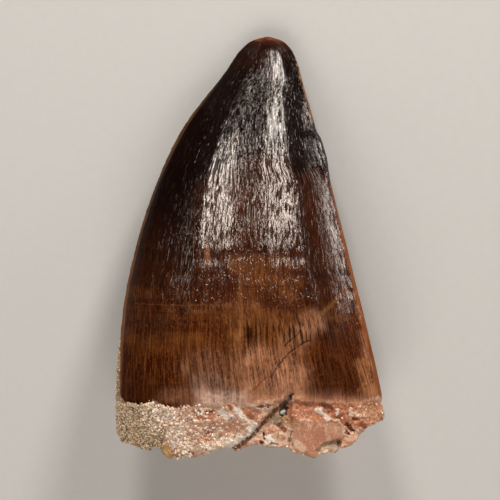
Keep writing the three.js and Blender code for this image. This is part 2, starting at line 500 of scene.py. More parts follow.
class Graph:
    """One material's node tree."""

    def __init__(self, name: str) -> None:
        """Starts an empty material with its output.

        Args:
            name: The material's name.
        """
        self.material = bpy.data.materials.new(name)
        self.material.use_nodes = True
        self.tree = self.material.node_tree
        self.tree.nodes.clear()
        self.output = self.tree.nodes.new("ShaderNodeOutputMaterial")

    def node(
        self, kind: str, settings: Optional[dict] = None, inputs: Optional[dict] = None,
    ) -> bpy.types.Node:
        """Adds a node.

        Args:
            kind: The node's type.
            settings: Its properties, set first; stops sets a ramp's stops as (position, colour).
            inputs: Values or links for its sockets, by name or place.

        Returns:
            The new node.
        """
        made = self.tree.nodes.new(kind)
        for name, value in (settings or {}).items():
            if name == "stops":
                self.set_stops(made.color_ramp, value)
            else:
                setattr(made, name, value)
        for key, value in (inputs or {}).items():
            self.feed(made.inputs[key], value)
        return made

    def feed(self, socket: Socket, source: object) -> None:
        """Gives an input socket its value.

        Args:
            socket: The input socket.
            source: A value or socket to link, or else the socket's own value.
        """
        if isinstance(source, Value):
            self.tree.links.new(source.socket, socket)
        elif isinstance(source, Socket):
            self.tree.links.new(source, socket)
        else:
            socket.default_value = source

    @staticmethod
    def set_stops(ramp: bpy.types.ColorRamp, stops: Sequence[tuple[float, Colour]]) -> None:
        """Sets a ramp's stops.

        Args:
            ramp: The ramp.
            stops: Each stop's position and colour.
        """
        while len(ramp.elements) < len(stops):
            ramp.elements.new(1.0)
        for element, (place, colour) in zip(ramp.elements, stops):
            element.position = place
            element.color = colour

    def attribute(self, name: str) -> bpy.types.Node:
        """Reads an attribute of the piece."""
        return self.node("ShaderNodeAttribute", {"attribute_name": name})

    def reading(self, name: str) -> Value:
        """Reads an attribute of the piece that is one number."""
        return Value(self, self.attribute(name).outputs["Fac"])

    def own_place(self) -> Socket:
        """The place in the piece's own metres."""
        return self.node("ShaderNodeTexCoord").outputs["Object"]

    def place(self, plan: Plan) -> Socket:
        """The plan place in millimetres."""
        inputs = {"Vector": self.own_place(), "Location": tuple(plan.shift), "Scale": (1 / MM,) * 3}
        return self.node("ShaderNodeMapping", {"vector_type": "POINT"}, inputs).outputs["Vector"]

    def parts(self, vector: Socket) -> tuple[Value, Value, Value]:
        """The three numbers of a vector."""
        split = self.node("ShaderNodeSeparateXYZ", None, {"Vector": vector})
        return tuple(Value(self, socket) for socket in split.outputs)

    def stretched(self, vector: Socket, scale: Point, turn: float = 0.0) -> Socket:
        """A vector scaled along its axes, turned in plan first."""
        inputs = {"Vector": vector, "Rotation": (0.0, 0.0, turn), "Scale": tuple(scale)}
        return self.node("ShaderNodeMapping", {"vector_type": "POINT"}, inputs).outputs["Vector"]

    def drawn_out(self, flow: Socket, share: float) -> Socket:
        """The enamel's flow with its length counted less, which draws patterns out along the crown."""
        return self.stretched(flow, (1.0, 1.0, share))

    def noise(
        self, vector: Socket, scale: float, detail: float = 2.0, roughness: float = 0.5,
        distortion: float = 0.0,
    ) -> Value:
        """Noise between 0 and 1, about 0.5 on average.

        Args:
            vector: Where the noise is read.
            scale: How many cells it has in one unit of the vector.
            detail: How many finer layers lie on it.
            roughness: How strong the finer layers are.
            distortion: How far it is twisted.

        Returns:
            The noise.
        """
        inputs = {
            "Vector": vector, "Scale": scale, "Detail": detail,
            "Roughness": roughness, "Distortion": distortion,
        }
        return Value(self, self.node("ShaderNodeTexNoise", None, inputs).outputs[0])

    def mix(self, factor: Number, low: Paint, high: Paint) -> Socket:
        """Mixes two colours.

        Args:
            factor: How much of high shows.
            low: The colour at factor 0.
            high: The colour at factor 1.

        Returns:
            The mixed colour's socket.
        """
        settings = {"data_type": "RGBA", "blend_type": "MIX", "clamp_factor": True}
        return self.node("ShaderNodeMix", settings, {0: factor, 6: low, 7: high}).outputs[2]

    def ramp(self, factor: Value, stops: Sequence[tuple[float, Colour]]) -> Socket:
        """A colour that runs through stops."""
        return self.node("ShaderNodeValToRGB", {"stops": stops}, {0: factor}).outputs["Color"]

    def away_from(self, x: Value, y: Value, start: Point, end: Point) -> Value:
        """The distance in plan to a straight stretch.

        Args:
            x: How far across a place is.
            y: How far along it is.
            start: The stretch's first end.
            end: Its other end.

        Returns:
            The distance.
        """
        run_x, run_y = end[0] - start[0], end[1] - start[1]
        square = run_x * run_x + run_y * run_y
        part = ((x - start[0]) * (run_x / square) + (y - start[1]) * (run_y / square)).most(0.0).least(1.0)
        off_x = x - start[0] - part * run_x
        off_y = y - start[1] - part * run_y
        return (off_x * off_x + off_y * off_y) ** 0.5

    def bump(self, height: Value, distance: float) -> Socket:
        """A normal bent by a height, which is counted in distances."""
        inputs = {"Strength": 1.0, "Distance": distance, "Height": height}
        return self.node("ShaderNodeBump", None, inputs).outputs["Normal"]

    def finish(self, constants: dict, varying: dict, worn: Optional[Value] = None) -> bpy.types.Material:
        """Closes the material with a Principled shader.

        Args:
            constants: Socket values that are the same all over.
            varying: Links that change over the surface.
            worn: How far the gloss is gone, if it goes anywhere.

        Returns:
            The finished material.
        """
        surface = self.node("ShaderNodeBsdfPrincipled", None, {**constants, **varying}).outputs["BSDF"]
        if worn:
            inputs = {**constants, **varying, "Specular IOR Level": 0.0, "Coat Weight": 0.0}
            dull = self.node("ShaderNodeBsdfPrincipled", None, inputs).outputs["BSDF"]
            surface = self.node("ShaderNodeMixShader", None, {0: worn, 1: surface, 2: dull}).outputs[0]
        self.tree.links.new(surface, self.output.inputs["Surface"])
        return self.material


CREAM = rgb(0.82, 0.57, 0.39)
WHITE = rgb(0.88, 0.77, 0.64)
PINK = rgb(0.7, 0.36, 0.23)
SALMON = rgb(0.62, 0.25, 0.13)
BRICK = rgb(0.42, 0.12, 0.06)
RUST = rgb(0.5, 0.17, 0.06)
DARK_RED = rgb(0.17, 0.03, 0.014)
SANDY_ORANGE = rgb(0.57, 0.3, 0.15)
OCHRE = rgb(0.6, 0.34, 0.14)
TAN_BONE = rgb(0.54, 0.34, 0.21)
BROWN = rgb(0.15, 0.052, 0.014)
WALNUT = rgb(0.12, 0.036, 0.01)
SHADOW = rgb(0.035, 0.015, 0.008)
GREY = rgb(0.46, 0.4, 0.31)
# Olive brown, also laid as painted shadow under the plate's edge and as painted shade in the wedge's hollow.
OLIVE_AND_SHADE = rgb(0.27, 0.18, 0.09)
PLATE = rgb(0.51, 0.21, 0.125)
AMBER = rgb(0.16, 0.052, 0.013)
TAN = rgb(0.3, 0.125, 0.048)
CHESTNUT = rgb(0.21, 0.066, 0.018)
ROSY = rgb(0.45, 0.205, 0.11)
UMBER = rgb(0.045, 0.013, 0.005)
BLACK_BROWN = rgb(0.014, 0.005, 0.003)
WARM_UMBER = rgb(0.045, 0.01, 0.0025)
KEEL = rgb(0.21, 0.08, 0.028)
KEEL_ORANGE = rgb(0.25, 0.073, 0.018)


@dataclass(frozen=True)
class Touch:
    """One touch of colour and relief on the side that faces the camera.

    It follows a path of picture points, or fills it. Its width is how far it reaches to either side, and its
    edge fades over soft, both in picture points. Its height is in millimetres, and a negative one is a dent.
    """

    path: Path
    width: float
    colour: Optional[Colour]
    strength: float = 0.85
    height: float = 0.0
    soft: float = 1.2
    filled: bool = False

    def cover(self, points: np.ndarray) -> np.ndarray:
        """How much of the touch lies at each picture point, from 0 to 1."""
        path = [*self.path, self.path[0]] if self.filled or len(self.path) == 1 else self.path
        cover = 1.0 - smoothstep(distance_to(points, path) - self.width, 0.0, self.soft)
        return np.where(inside(points, self.path), 1.0, cover) if self.filled else cover


def colour_touch(path: Path, width: float, colour: Colour, strength: float, soft: float) -> Touch:
    """A touch of colour without relief."""
    return Touch(path, width, colour, strength, 0.0, soft)


def patch(path: Path, width: float, strength: float, soft: float) -> Touch:
    """A touch without colour or relief, which only marks where something is."""
    return Touch(path, width, None, strength, 0.0, soft)


ROOT_TOP = 23.35
ROOT_MIDDLE = 0.3
ROOT_FALL = 0.0174
ROOT_SLOPE_START = 3.0
ROOT_END = 9.0


def root_top(places: np.ndarray, slope: float = 0.0) -> np.ndarray:
    """How high the root's upper side is where nothing has broken off.

    Args:
        places: Plan places, one per row.
        slope: How much it climbs towards the tip, in millimetres per millimetre.

    Returns:
        One height per place, highest in the middle of the root.
    """
    climb = slope * (places[:, 1] - ROOT_SLOPE_START)
    return ROOT_TOP + climb - ROOT_FALL * (places[:, 0] - ROOT_MIDDLE) ** 2


def off_the_floor(places: np.ndarray) -> np.ndarray:
    """Fades relief out where the tooth touches the floor, so that it rests flat."""
    return smoothstep(places[:, 2], 0.05, 0.8)


class Canvas:
    """Lays touches over a piece one after another, with edges that wander."""

    WANDER_SEEDS: tuple[float, float] = (21.0, 23.0)
    FADES_DOWN: tuple[float, float] = (5.0, 8.0)
    FADES_UNDER: tuple[float, float] = (-0.35, 0.05)

    def __init__(
        self, view: View, places: np.ndarray, facing: np.ndarray, cell: float = 0.55, ragged: float = 1.5,
    ) -> None:
        """Reads where the piece's vertices are in the picture.

        Args:
            view: The camera's place.
            places: Plan places of the vertices.
            facing: Their directions.
            cell: How far apart the wanderings of an edge are, in millimetres.
            ragged: How far edges wander, in picture points.
        """
        wander = [Lumps(cell, cell * 0.45, 0.6, seed, seed + 1.0).at(places) for seed in self.WANDER_SEEDS]
        self.points = view.points(places) + np.stack(wander, axis=1) * ragged
        depth = root_top(places) - places[:, 2]
        above = np.where(places[:, 1] < ROOT_END, 1.0 - smoothstep(depth, *self.FADES_DOWN), 1.0)
        self.seen = above * smoothstep(facing[:, 2], *self.FADES_UNDER)

    def cover(self, touches: Sequence[Touch]) -> np.ndarray:
        """How far the most of these touches covers each vertex, from 0 to 1."""
        return np.max([touch.cover(self.points) for touch in touches], axis=0) * self.seen

    def marks(self, touches: Sequence[Touch]) -> np.ndarray:
        """How strongly the strongest of these touches marks each vertex."""
        return np.max([touch.cover(self.points) * touch.strength for touch in touches], axis=0) * self.seen

    def relief(self, touches: Sequence[Touch]) -> np.ndarray:
        """Adds up the height of touches.

        Args:
            touches: The touches.

        Returns:
            One height per vertex, in millimetres.
        """
        height = np.zeros(len(self.points))
        for touch in touches:
            if touch.height:
                height += touch.height * touch.cover(self.points)
        return height * self.seen

    def colours(self, touches: Sequence[Touch]) -> np.ndarray:
        """Lays the colours of touches over each other.

        Args:
            touches: The touches, from the lowest to the top one.

        Returns:
            One colour per vertex, with how much it covers as alpha.
        """
        paint = np.zeros((len(self.points), 4))
        for touch in touches:
            cover = touch.cover(self.points) * touch.strength * self.seen
            total = cover + paint[:, 3] * (1.0 - cover)
            share = np.divide(cover, total, out=np.zeros_like(cover), where=total > 1e-6)
            paint[:, :3] += (np.array(touch.colour[:3]) - paint[:, :3]) * share[:, None]
            paint[:, 3] = total
        return paint


@dataclass(frozen=True)
class RootDamage:
    """The root's patches, ridges and cavities: left of the crack, right of it with the plate, on the wedge of
    bone between them, and on the crack's ledge, walls and depths. Some touches are painted shade in hollows
    and painted shadow under edges.
    """

    left: Sequence[Touch] = (
        Touch(((160, 414), (176, 432), (182, 446)), 7.0, CREAM, 0.5, 0.1, 5.0),
        Touch(((186, 449), (215, 447), (240, 441)), 3.5, CREAM, 0.7, 0.05, 3.0),
        Touch(((205, 447), (226, 442), (244, 434), (255, 426)), 2.2, WHITE, 0.65, 0.1, 2.5),
        colour_touch(((178, 404), (185, 407)), 2.5, SALMON, 0.6, 2.0),
        colour_touch(((192, 427), (196, 440)), 4.0, PINK, 0.45, 4.0),
        Touch(((206, 438), (213, 426)), 3.0, SALMON, 0.55, -0.12, 3.0),
        Touch(((222, 438), (231, 424), (243, 431)), 3.0, SALMON, 0.45, -0.12, 3.0),
        Touch(((183, 436),), 2.0, BRICK, 0.7, -0.12),
        Touch(((207, 431), (208, 434)), 1.2, BRICK, 0.75, -0.1),
        Touch(((222, 412), (226, 416), (230, 418)), 2.6, WHITE, 0.7, 0.08, 2.5),
        Touch(((234, 408), (240, 413), (244, 420)), 1.8, WHITE, 0.65, 0.12, 2.0),
        Touch(((192, 411), (204, 412.5), (214, 411.5)), 1.0, BRICK, 0.65, -0.06, 1.6),
        Touch(((196, 417), (212, 418)), 1.6, SALMON, 0.6, -0.05, 2.0),
        Touch(((229, 406), (231.5, 408.5)), 1.2, BRICK, 0.7, -0.06, 1.5),
        Touch(((248, 411.5), (255, 413.5), (253, 419)), 3.5, SALMON, 0.75, -0.1, 2.0),
        Touch(((250, 414.5), (251.5, 417.5)), 1.0, RUST, 0.7, -0.05, 1.5),
        Touch(((245.5, 419), (250, 421.5), (255, 424.5), (258, 427)), 1.4, WHITE, 0.8, 0.14),
        Touch(((253, 432), (246, 438), (238, 443), (228, 447)), 1.6, WHITE, 0.75, 0.08, 1.5),
        Touch(((257.5, 406.8), (264, 406.4), (270.5, 405.8)), 0.7, DARK_RED, 0.85, -0.08, 0.8),
        Touch(((257, 409), (266, 408.6), (272, 407.6)), 0.6, CREAM, 0.8, 0.05, 0.8),
        Touch((
            (160, 447), (164, 452), (169, 457), (176, 456), (172, 449), (167, 444),
        ), 0.6, OCHRE, 0.9, 0.1, 1.0, True),
        # An orange-brown clump, darkened with painted shade.
        Touch(((174, 451), (186, 454)), 3.0, rgb(0.44, 0.22, 0.1), 0.75, 0.05, 1.5),
        Touch(((189, 451), (193, 453.5)), 0.9, SHADOW, 0.9, -0.35, 0.8),
        Touch(((191, 458.5), (198, 455.5)), 1.3, GREY, 0.9, 0.1, 0.8),
    )
    ledge: Touch = colour_touch(((269.5, 421), (264.5, 426.5), (259.5, 432), (254.5, 437)), 1.3, TAN_BONE, 0.7, 1.2)
    walls: Sequence[Touch] = (
        colour_touch(((289, 398), (285, 402), (279.5, 407), (273.5, 412.5), (268, 418)), 1.5, BROWN, 0.9, 1.0),
        colour_touch((
            (269, 417), (262.8, 423.7), (258.2, 428.6), (253.3, 434.2), (248.8, 438.8), (243.5, 442.9),
            (238.5, 446.3),
        ), 1.2, WALNUT, 0.95, 0.9),
        Touch(((234, 449.3), (238, 447), (243.5, 443.5)), 1.7, WALNUT, 0.9, 0.1, 1.2),
    )
    depths: Sequence[Touch] = (
        Touch(((258, 431), (253, 436), (249, 439)), 0.6, SHADOW, 0.7, -0.05, 0.8),
        colour_touch(((291, 395.5), (289.5, 398), (286, 403)), 0.8, SHADOW, 0.95, 0.8),
        Touch((
            (285.2, 400.2), (287.8, 401.7), (288.3, 404.8), (287.2, 409.4), (286.2, 414), (282.7, 416),
            (279.1, 414), (278.6, 412.4), (280.1, 407.9), (281.6, 404.8),
        ), 0.2, SHADOW, 0.95, 0.0, 0.8, True),
    )
    wedge: Sequence[Touch] = (
        # Darker olive in the wedge's hollow: partly its own colour, partly painted shade.
        Touch(((274, 418), (280, 420), (277, 423)), 2.4, OLIVE_AND_SHADE, 0.5, -0.05, 2.0),
        colour_touch(((273.5, 418),), 1.2, GREY, 0.7, 1.2),
        colour_touch(((279, 421.5),), 1.0, GREY, 0.6, 1.0),
        Touch(((284.5, 418), (287, 420.5)), 2.0, OCHRE, 0.8, 0.08, 1.5),
        Touch(((287, 420),), 0.6, WALNUT, 0.8, -0.05, 0.8),
        Touch(((280, 426), (285, 430)), 2.2, WALNUT, 0.5, -0.08, 2.0),
        Touch((
            (265.3, 435.4), (270.9, 435.9), (272.4, 439), (278.1, 445.1), (276, 446.4), (265.3, 444),
        ), 0.2, WHITE, 0.85, 0.1, 0.9, True),
        Touch(((271.8, 442.8), (277.5, 444.3)), 0.7, WALNUT, 0.8, -0.15, 0.8),
        Touch(((264, 433), (264.2, 438.8)), 0.6, SHADOW, 0.8, -0.25, 0.9),
        Touch(((260.5, 442), (263, 441.5)), 0.8, DARK_RED, 0.7, -0.1, 0.9),
        Touch(((291.6, 412), (291.2, 425), (291.4, 436), (292.5, 446)), 0.6, OLIVE_AND_SHADE, 0.4, -0.05, 1.0),
        Touch(((291.2, 434), (291.3, 436.5)), 0.5, SHADOW, 0.7, -0.1, 0.7),
        colour_touch(((288.5, 438), (289.5, 441)), 1.2, OLIVE_AND_SHADE, 0.6, 1.2),
        colour_touch(((293.2, 428), (292, 431)), 0.7, OLIVE_AND_SHADE, 0.6, 1.0),
    )
    ground: Sequence[Touch] = (
        colour_touch(((298, 412), (345, 416), (382, 412)), 10.0, rgb(0.53, 0.19, 0.088), 0.55, 8.0),
        colour_touch(((296, 407), (300, 417)), 4.0, SALMON, 0.5, 3.0),
    )
    plate: Touch = Touch((
        (294.5, 420), (301, 420.5), (317.5, 421.5), (328, 420), (338, 421), (343, 427), (344, 434),
        (341, 439.5), (331.5, 441), (321, 449), (313, 456.5), (301, 451), (294.5, 446),
    ), 0.3, PLATE, 0.88, 0.1, 1.6, True)
    right: Sequence[Touch] = (
        colour_touch(((331, 427), (340, 430)), 3.5, TAN_BONE, 0.45, 4.0),
        colour_touch(((305, 427), (318, 432)), 3.0, SALMON, 0.4, 4.0),
        colour_touch(((310, 438), (322, 436)), 2.0, SALMON, 0.4, 3.5),
        colour_touch(((297, 431), (299, 437)), 2.0, TAN_BONE, 0.4, 3.0),
        Touch(((297, 444), (303, 449)), 2.6, CREAM, 0.6, 0.03, 2.5),
        colour_touch(((308, 452), (313, 456)), 2.0, SANDY_ORANGE, 0.6, 2.0),
        Touch(((300, 420.5), (309, 420)), 0.8, CREAM, 0.5, 0.06),
        Touch(((330, 419.5), (338, 420.5), (342, 425), (344.2, 430), (344.5, 434)), 0.7, CREAM, 0.8, 0.12),
        Touch(((317, 410), (320.5, 413)), 1.7, WHITE, 0.75, 0.14, 1.5),
        Touch(((319.5, 407.5), (321, 409.5)), 0.8, WHITE, 0.6, 0.1),
        Touch(((325, 415.5), (328.5, 419.5)), 1.8, WHITE, 0.75, 0.14, 1.3),
        Touch(((337, 410), (338, 414)), 1.4, WHITE, 0.85, 0.2, 1.0),
        Touch(((351, 409.5), (351.5, 415)), 1.5, CREAM, 0.8, 0.15),
        Touch(((356, 412.5), (359, 415.5)), 1.4, CREAM, 0.7, 0.12),
        Touch(((364.5, 413.5), (366.5, 415.5)), 1.3, CREAM, 0.7, 0.1),
        # Painted shadow: a dark olive crescent under the plate's lower edge.
        Touch((
            (318, 451), (322, 447), (327, 443.8), (333, 441.3), (339, 440.5),
        ), 1.1, OLIVE_AND_SHADE, 0.9, -0.12, 1.4),
        Touch(((321, 453), (327, 448.5), (334, 446), (336, 450)), 2.2, CREAM, 0.8, 0.1),
        Touch(((338, 442.5), (339, 445)), 1.2, SHADOW, 0.9, -0.4, 0.8),
        colour_touch(((344, 445), (353, 440)), 3.0, PINK, 0.5, 2.5),
        Touch(((321, 403.5), (327, 406), (331, 410)), 2.0, DARK_RED, 0.7, -0.14, 1.8),
        Touch(((303, 403.5), (309, 404)), 1.0, BRICK, 0.75, -0.08),
        Touch(((297, 402), (300, 404.5)), 1.0, BRICK, 0.65, -0.08),
        Touch(((334, 405), (342, 406.5)), 1.8, RUST, 0.65, -0.05, 1.5),
        Touch(((306, 410), (311, 415)), 1.6, SALMON, 0.75, -0.08, 1.5),
        Touch(((331, 411.5), (334, 416)), 1.2, RUST, 0.65, -0.05, 1.2),
        Touch(((340, 416), (345, 423)), 2.4, BRICK, 0.8, -0.12, 1.8),
        Touch(((348, 424.5), (352.5, 430)), 1.6, DARK_RED, 0.95, -0.45, 0.9),
        Touch(((353, 418.5), (357, 419.5)), 1.2, DARK_RED, 0.85, -0.25, 0.9),
        Touch(((346.5, 431.5), (348.5, 434.5)), 1.2, DARK_RED, 0.85, -0.25, 0.9),
        Touch(((361.5, 425), (365, 427.5)), 1.6, BRICK, 0.7, -0.12, 1.3),
        colour_touch(((366, 408), (378, 414), (384, 420)), 6.0, SANDY_ORANGE, 0.5, 4.0),
        colour_touch(((372, 406), (375, 409)), 1.8, RUST, 0.35, 2.0),
    )

    def everywhere(self) -> list[Touch]:
        """All touches in the order they are laid."""
        sides = [*self.left, *self.ground, self.plate, *self.right]
        return [*sides, *self.wedge, self.ledge, *self.walls, *self.depths]

    def smooth(self) -> list[Touch]:
        """The touches without grit: the plate and the crack's walls."""
        return [self.plate, *self.walls]


@dataclass(frozen=True)
class CrownStainsAndSheen:
    """The enamel's growth bands and stains, a painted sheen along its rim, its thin marks with painted shade
    in the crack's mouth, and where its gloss is gone or full.
    """

    touches: Sequence[Touch] = (
        colour_touch(((222, 200), (224, 290)), 14.0, WARM_UMBER, 0.6, 24.0),
        colour_touch(((262, 190), (268, 290)), 22.0, WARM_UMBER, 0.6, 24.0),
        colour_touch(((318, 190), (334, 250)), 12.0, WARM_UMBER, 0.7, 16.0),
        colour_touch(((317, 280), (320, 332)), 6.0, BLACK_BROWN, 0.5, 9.0),
        colour_touch(((236, 322), (282, 328)), 8.0, rgb(0.24, 0.09, 0.026), 0.36, 14.0),
        colour_touch(((140, 265), (148, 300), (152, 330)), 8.0, BLACK_BROWN, 0.4, 14.0),
        colour_touch(((246, 296), (252, 312)), 6.0, AMBER, 0.35, 12.0),
        colour_touch(((135, 345), (200, 343), (275, 344)), 0.5, AMBER, 0.38, 13.0),
        colour_touch(((190, 307), (260, 306)), 1.0, TAN, 0.22, 7.0),
        colour_touch(((134, 291), (152, 293)), 1.0, AMBER, 0.3, 10.0),
        colour_touch(((236, 264), (282, 264)), 3.0, AMBER, 0.42, 12.0),
        colour_touch(((255, 277), (292, 290)), 2.0, AMBER, 0.45, 14.0),
        colour_touch(((238, 332), (236, 360), (235, 385)), 1.5, TAN, 0.4, 6.0),
        colour_touch(((314, 322), (296, 340), (282, 360)), 3.0, ROSY, 0.4, 16.0),
        colour_touch(((258, 366), (268, 384), (290, 382)), 10.0, ROSY, 0.66, 22.0),
        colour_touch(((190, 368), (222, 364)), 6.0, ROSY, 0.24, 16.0),
        colour_touch(((166, 396), (190, 396)), 3.0, ROSY, 0.3, 12.0),
        colour_touch(((206, 392), (252, 386)), 3.0, ROSY, 0.42, 14.0),
        colour_touch(((282, 372), (290, 392), (300, 402)), 2.0, ROSY, 0.45, 8.0),
        # Painted sheen: pale grey-pink bands along the rim stand in for a soft reflection.
        colour_touch(((196, 385), (214, 382)), 2.0, rgb(0.42, 0.27, 0.21), 0.3, 14.0),
        colour_touch(((204, 399), (242, 400)), 1.0, rgb(0.62, 0.4, 0.3), 0.85, 14.0),
        colour_touch(((250, 402), (300, 402), (372, 404)), 1.0, ROSY, 0.6, 9.0),
        colour_touch(((320, 385), (350, 372)), 5.0, UMBER, 0.55, 16.0),
        colour_touch(((325, 355), (345, 345)), 5.0, UMBER, 0.5, 16.0),
        colour_touch(((360, 335), (368, 362), (375, 392)), 1.5, ROSY, 0.35, 6.5),
        colour_touch(((364, 366), (371, 390)), 4.0, rgb(0.42, 0.175, 0.07), 0.5, 6.0),
        colour_touch(((135, 380), (150, 396)), 6.0, UMBER, 0.4, 14.0),
        colour_touch(((258, 362), (290, 352)), 3.0, AMBER, 0.3, 14.0),
    )
    thin: Sequence[Touch] = (
        colour_touch((
            (288, 43), (292, 48), (298, 64), (303, 84), (309, 104), (312.5, 118),
        ), 0.5, rgb(0.27, 0.15, 0.09), 0.7, 1.4),
        colour_touch(((309, 108), (313.5, 122)), 0.8, rgb(0.16, 0.06, 0.02), 0.8, 1.2),
        # Painted shade in the mouth of the crack at the rim.
        colour_touch(((292, 394), (290.5, 396.5), (288.5, 399)), 1.3, BLACK_BROWN, 0.95, 1.0),
        colour_touch(((257, 39.5), (268, 37.5), (283, 40)), 0.6, rgb(0.15, 0.045, 0.017), 0.85, 3.2),
        colour_touch(((252, 44), (268, 42), (288, 46)), 1.0, rgb(0.03, 0.007, 0.003), 0.6, 3.0),
        colour_touch(((207, 246), (207.5, 252)), 0.5, TAN, 0.3, 4.0),
        colour_touch(((207.5, 254), (208, 264)), 0.5, SALMON, 0.16, 4.0),
        colour_touch(((240.5, 266), (240, 296), (241, 328)), 0.3, TAN, 0.2, 2.6),
        colour_touch(((344, 293), (328, 308), (312, 323)), 0.4, rgb(0.22, 0.09, 0.024), 0.34, 3.2),
        colour_touch(((331.5, 186), (335, 200), (339, 216), (343, 232)), 0.7, KEEL_ORANGE, 0.55, 2.2),
        colour_touch(((343, 232), (348, 252), (353.5, 275), (358, 293)), 1.8, KEEL_ORANGE, 0.62, 2.6),
        colour_touch(((358, 293), (362.5, 312), (368, 335)), 2.8, KEEL_ORANGE, 0.56, 3.2),
        colour_touch(((368, 335), (374, 358), (379, 382), (380, 396)), 1.6, KEEL_ORANGE, 0.5, 3.0),
    )
    matt: Sequence[Touch] = (
        patch(((252, 42), (268, 40), (286, 44)), 3.5, 0.9, 5.0),
        patch(((290, 58), (295, 80), (298, 96)), 6.0, 0.9, 6.0),
        patch((
            (292, 92), (296, 140), (303, 190), (310, 226), (315, 255), (321, 282), (328, 320),
        ), 7.0, 0.94, 7.0),
        patch(((256, 78), (252, 114), (249, 151), (248, 198), (248, 249)), 5.0, 0.35, 8.0),
        patch(((241, 62), (227, 98), (216, 128), (203, 150), (189, 172)), 8.0, 0.88, 8.0),
        patch(((200, 120), (180, 168), (168, 205), (158, 250), (152, 300)), 12.0, 0.97, 9.0),
        patch(((252, 52), (246, 80), (236, 128)), 3.0, 0.45, 9.0),
        patch(((332, 335), (350, 372)), 10.0, 0.7, 14.0),
        patch(((261, 50), (261, 90), (258, 130)), 4.0, 0.6, 6.0),
        patch(((306, 130), (313, 180), (322, 235), (335, 290)), 5.0, 0.6, 6.0),
        patch(((343.5, 232), (348.5, 252), (354.5, 275), (359, 293), (364, 312)), 1.9, 0.95, 1.8),
    )
    shine: Sequence[Touch] = (
        patch(((276, 54), (276, 100), (277, 130)), 6.0, 1.0, 8.0),
        patch(((228, 150), (222, 190), (217, 240)), 8.0, 0.15, 8.0),
        patch(((315, 130), (323, 172), (332, 220), (338, 250), (345, 285)), 3.5, 0.5, 5.0),
    )


@dataclass(frozen=True)
class Split:
    """The crack through the root, partly filled with sediment.

    Depths are under the root's upper side, and nothing under the lowest height is filled.
    """

    path: Path = ((-2.55, 0.8), (-1.3, 2.35), (0.3, 3.55), (1.6, 5.25), (3.35, 6.9), (5.4, 8.8))
    reach: float = 0.42
    deepest: float = 0.7
    hollow: tuple[float, float] = (4.75, 7.5)
    hollow_reach: float = 0.95
    hollow_deepest: float = 1.3
    hollow_heart: float = 0.8
    slope: float = 0.14
    lowest: float = 18.0
    no_floor: float = -1.0

    def floor(self, places: np.ndarray) -> np.ndarray:
        """Where the sediment in the split reaches.

        Args:
            places: Plan places, one per row.

        Returns:
            The lowest height that each place may have, in millimetres.
        """
        unbroken = root_top(places, self.slope)
        in_crack = distance_to(places, self.path) < self.reach
        crack = np.where(in_crack, unbroken - self.deepest, self.no_floor)
        off = np.hypot(places[:, 0] - self.hollow[0], places[:, 1] - self.hollow[1])
        hollow = np.where(off < self.hollow_reach, unbroken - self.hollow_deepest, self.no_floor)
        floor = np.maximum(np.where(off < self.hollow_heart, self.no_floor, crack), hollow)
        return np.where(places[:, 2] > self.lowest, floor, self.no_floor)


@dataclass(frozen=True)
class Facets:
    """The flat faces that run up the crown's cheek side.

    Each corner between them is a turn from the right edge, in degrees, and how far out it stands from the
    section's middle, where 1 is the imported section. The fades are plan lengths along the tooth.
    """

    corners: Sequence[tuple[float, float]] = (
        (0.0, 1.0), (13.0, 1.012), (19.0, 0.984), (53.0, 1.022), (72.5, 0.974), (94.5, 0.994), (114.7, 1.03),
        (144.0, 0.996), (152.0, 1.0),
    )
    first_turn: float = -20.0
    last_turn: float = 200.0
    step: float = 0.25
    rounding: int = 8
    fades_in: tuple[float, float] = (9.0, 17.0)
    fades_out: tuple[float, float] = (54.0, 57.0)

    def share(self, along: np.ndarray) -> np.ndarray:
        """How clearly the faces show at each length along the tooth."""
        return smoothstep(along, *self.fades_in) * (1.0 - smoothstep(along, *self.fades_out))

    def reach(self, angle: np.ndarray) -> np.ndarray:
        """How far out the faceted section stands.

        Args:
            angle: Turns round the section, in radians.

        Returns:
            One distance from the middle per turn.
        """
        turns = np.radians(np.arange(self.first_turn, self.last_turn, self.step))
        sines, cosines = np.sin(turns), np.cos(turns)
        reach = np.ones(len(turns))
        for first, second in zip(self.corners, self.corners[1:]):
            (x, y), (x_end, y_end) = (self.corner(*first), self.corner(*second))
            here = (turns >= math.radians(first[0])) & (turns <= math.radians(second[0]))
            run_x, run_y = x_end - x, y_end - y
            chord = (x * run_y - y * run_x) / (cosines * run_y - sines * run_x)
            reach = np.where(here, chord, reach)
        window = np.ones(self.rounding) / self.rounding
        soft = np.convolve(np.pad(reach, self.rounding, mode="edge"), window, mode="same")
        return np.interp(angle, turns, soft[self.rounding:-self.rounding], left=1.0, right=1.0)

    @staticmethod
    def corner(turn: float, out: float) -> tuple[float, float]:
        """A corner's place in a section of half width 1."""
        return out * math.cos(math.radians(turn)), out * math.sin(math.radians(turn))


@dataclass(frozen=True)
class Shoulder:
    """The stretch of the right keel that isn't chipped and stands a little further out.

    It starts and ends at lengths along the tooth, and its turn round the section is in radians.
    """

    starts: tuple[float, float] = (37.0, 41.0)
    ends: tuple[float, float] = (42.6, 44.6)
    turn: tuple[float, float] = (0.1, 0.75)
    out: float = 0.42

    def share(self, along: np.ndarray, angle: np.ndarray) -> np.ndarray:
        """How far out each place is moved, in millimetres."""
        length = smoothstep(along, *self.starts) * (1.0 - smoothstep(along, *self.ends))
        return self.out * length * (1.0 - smoothstep(np.abs(angle), *self.turn))


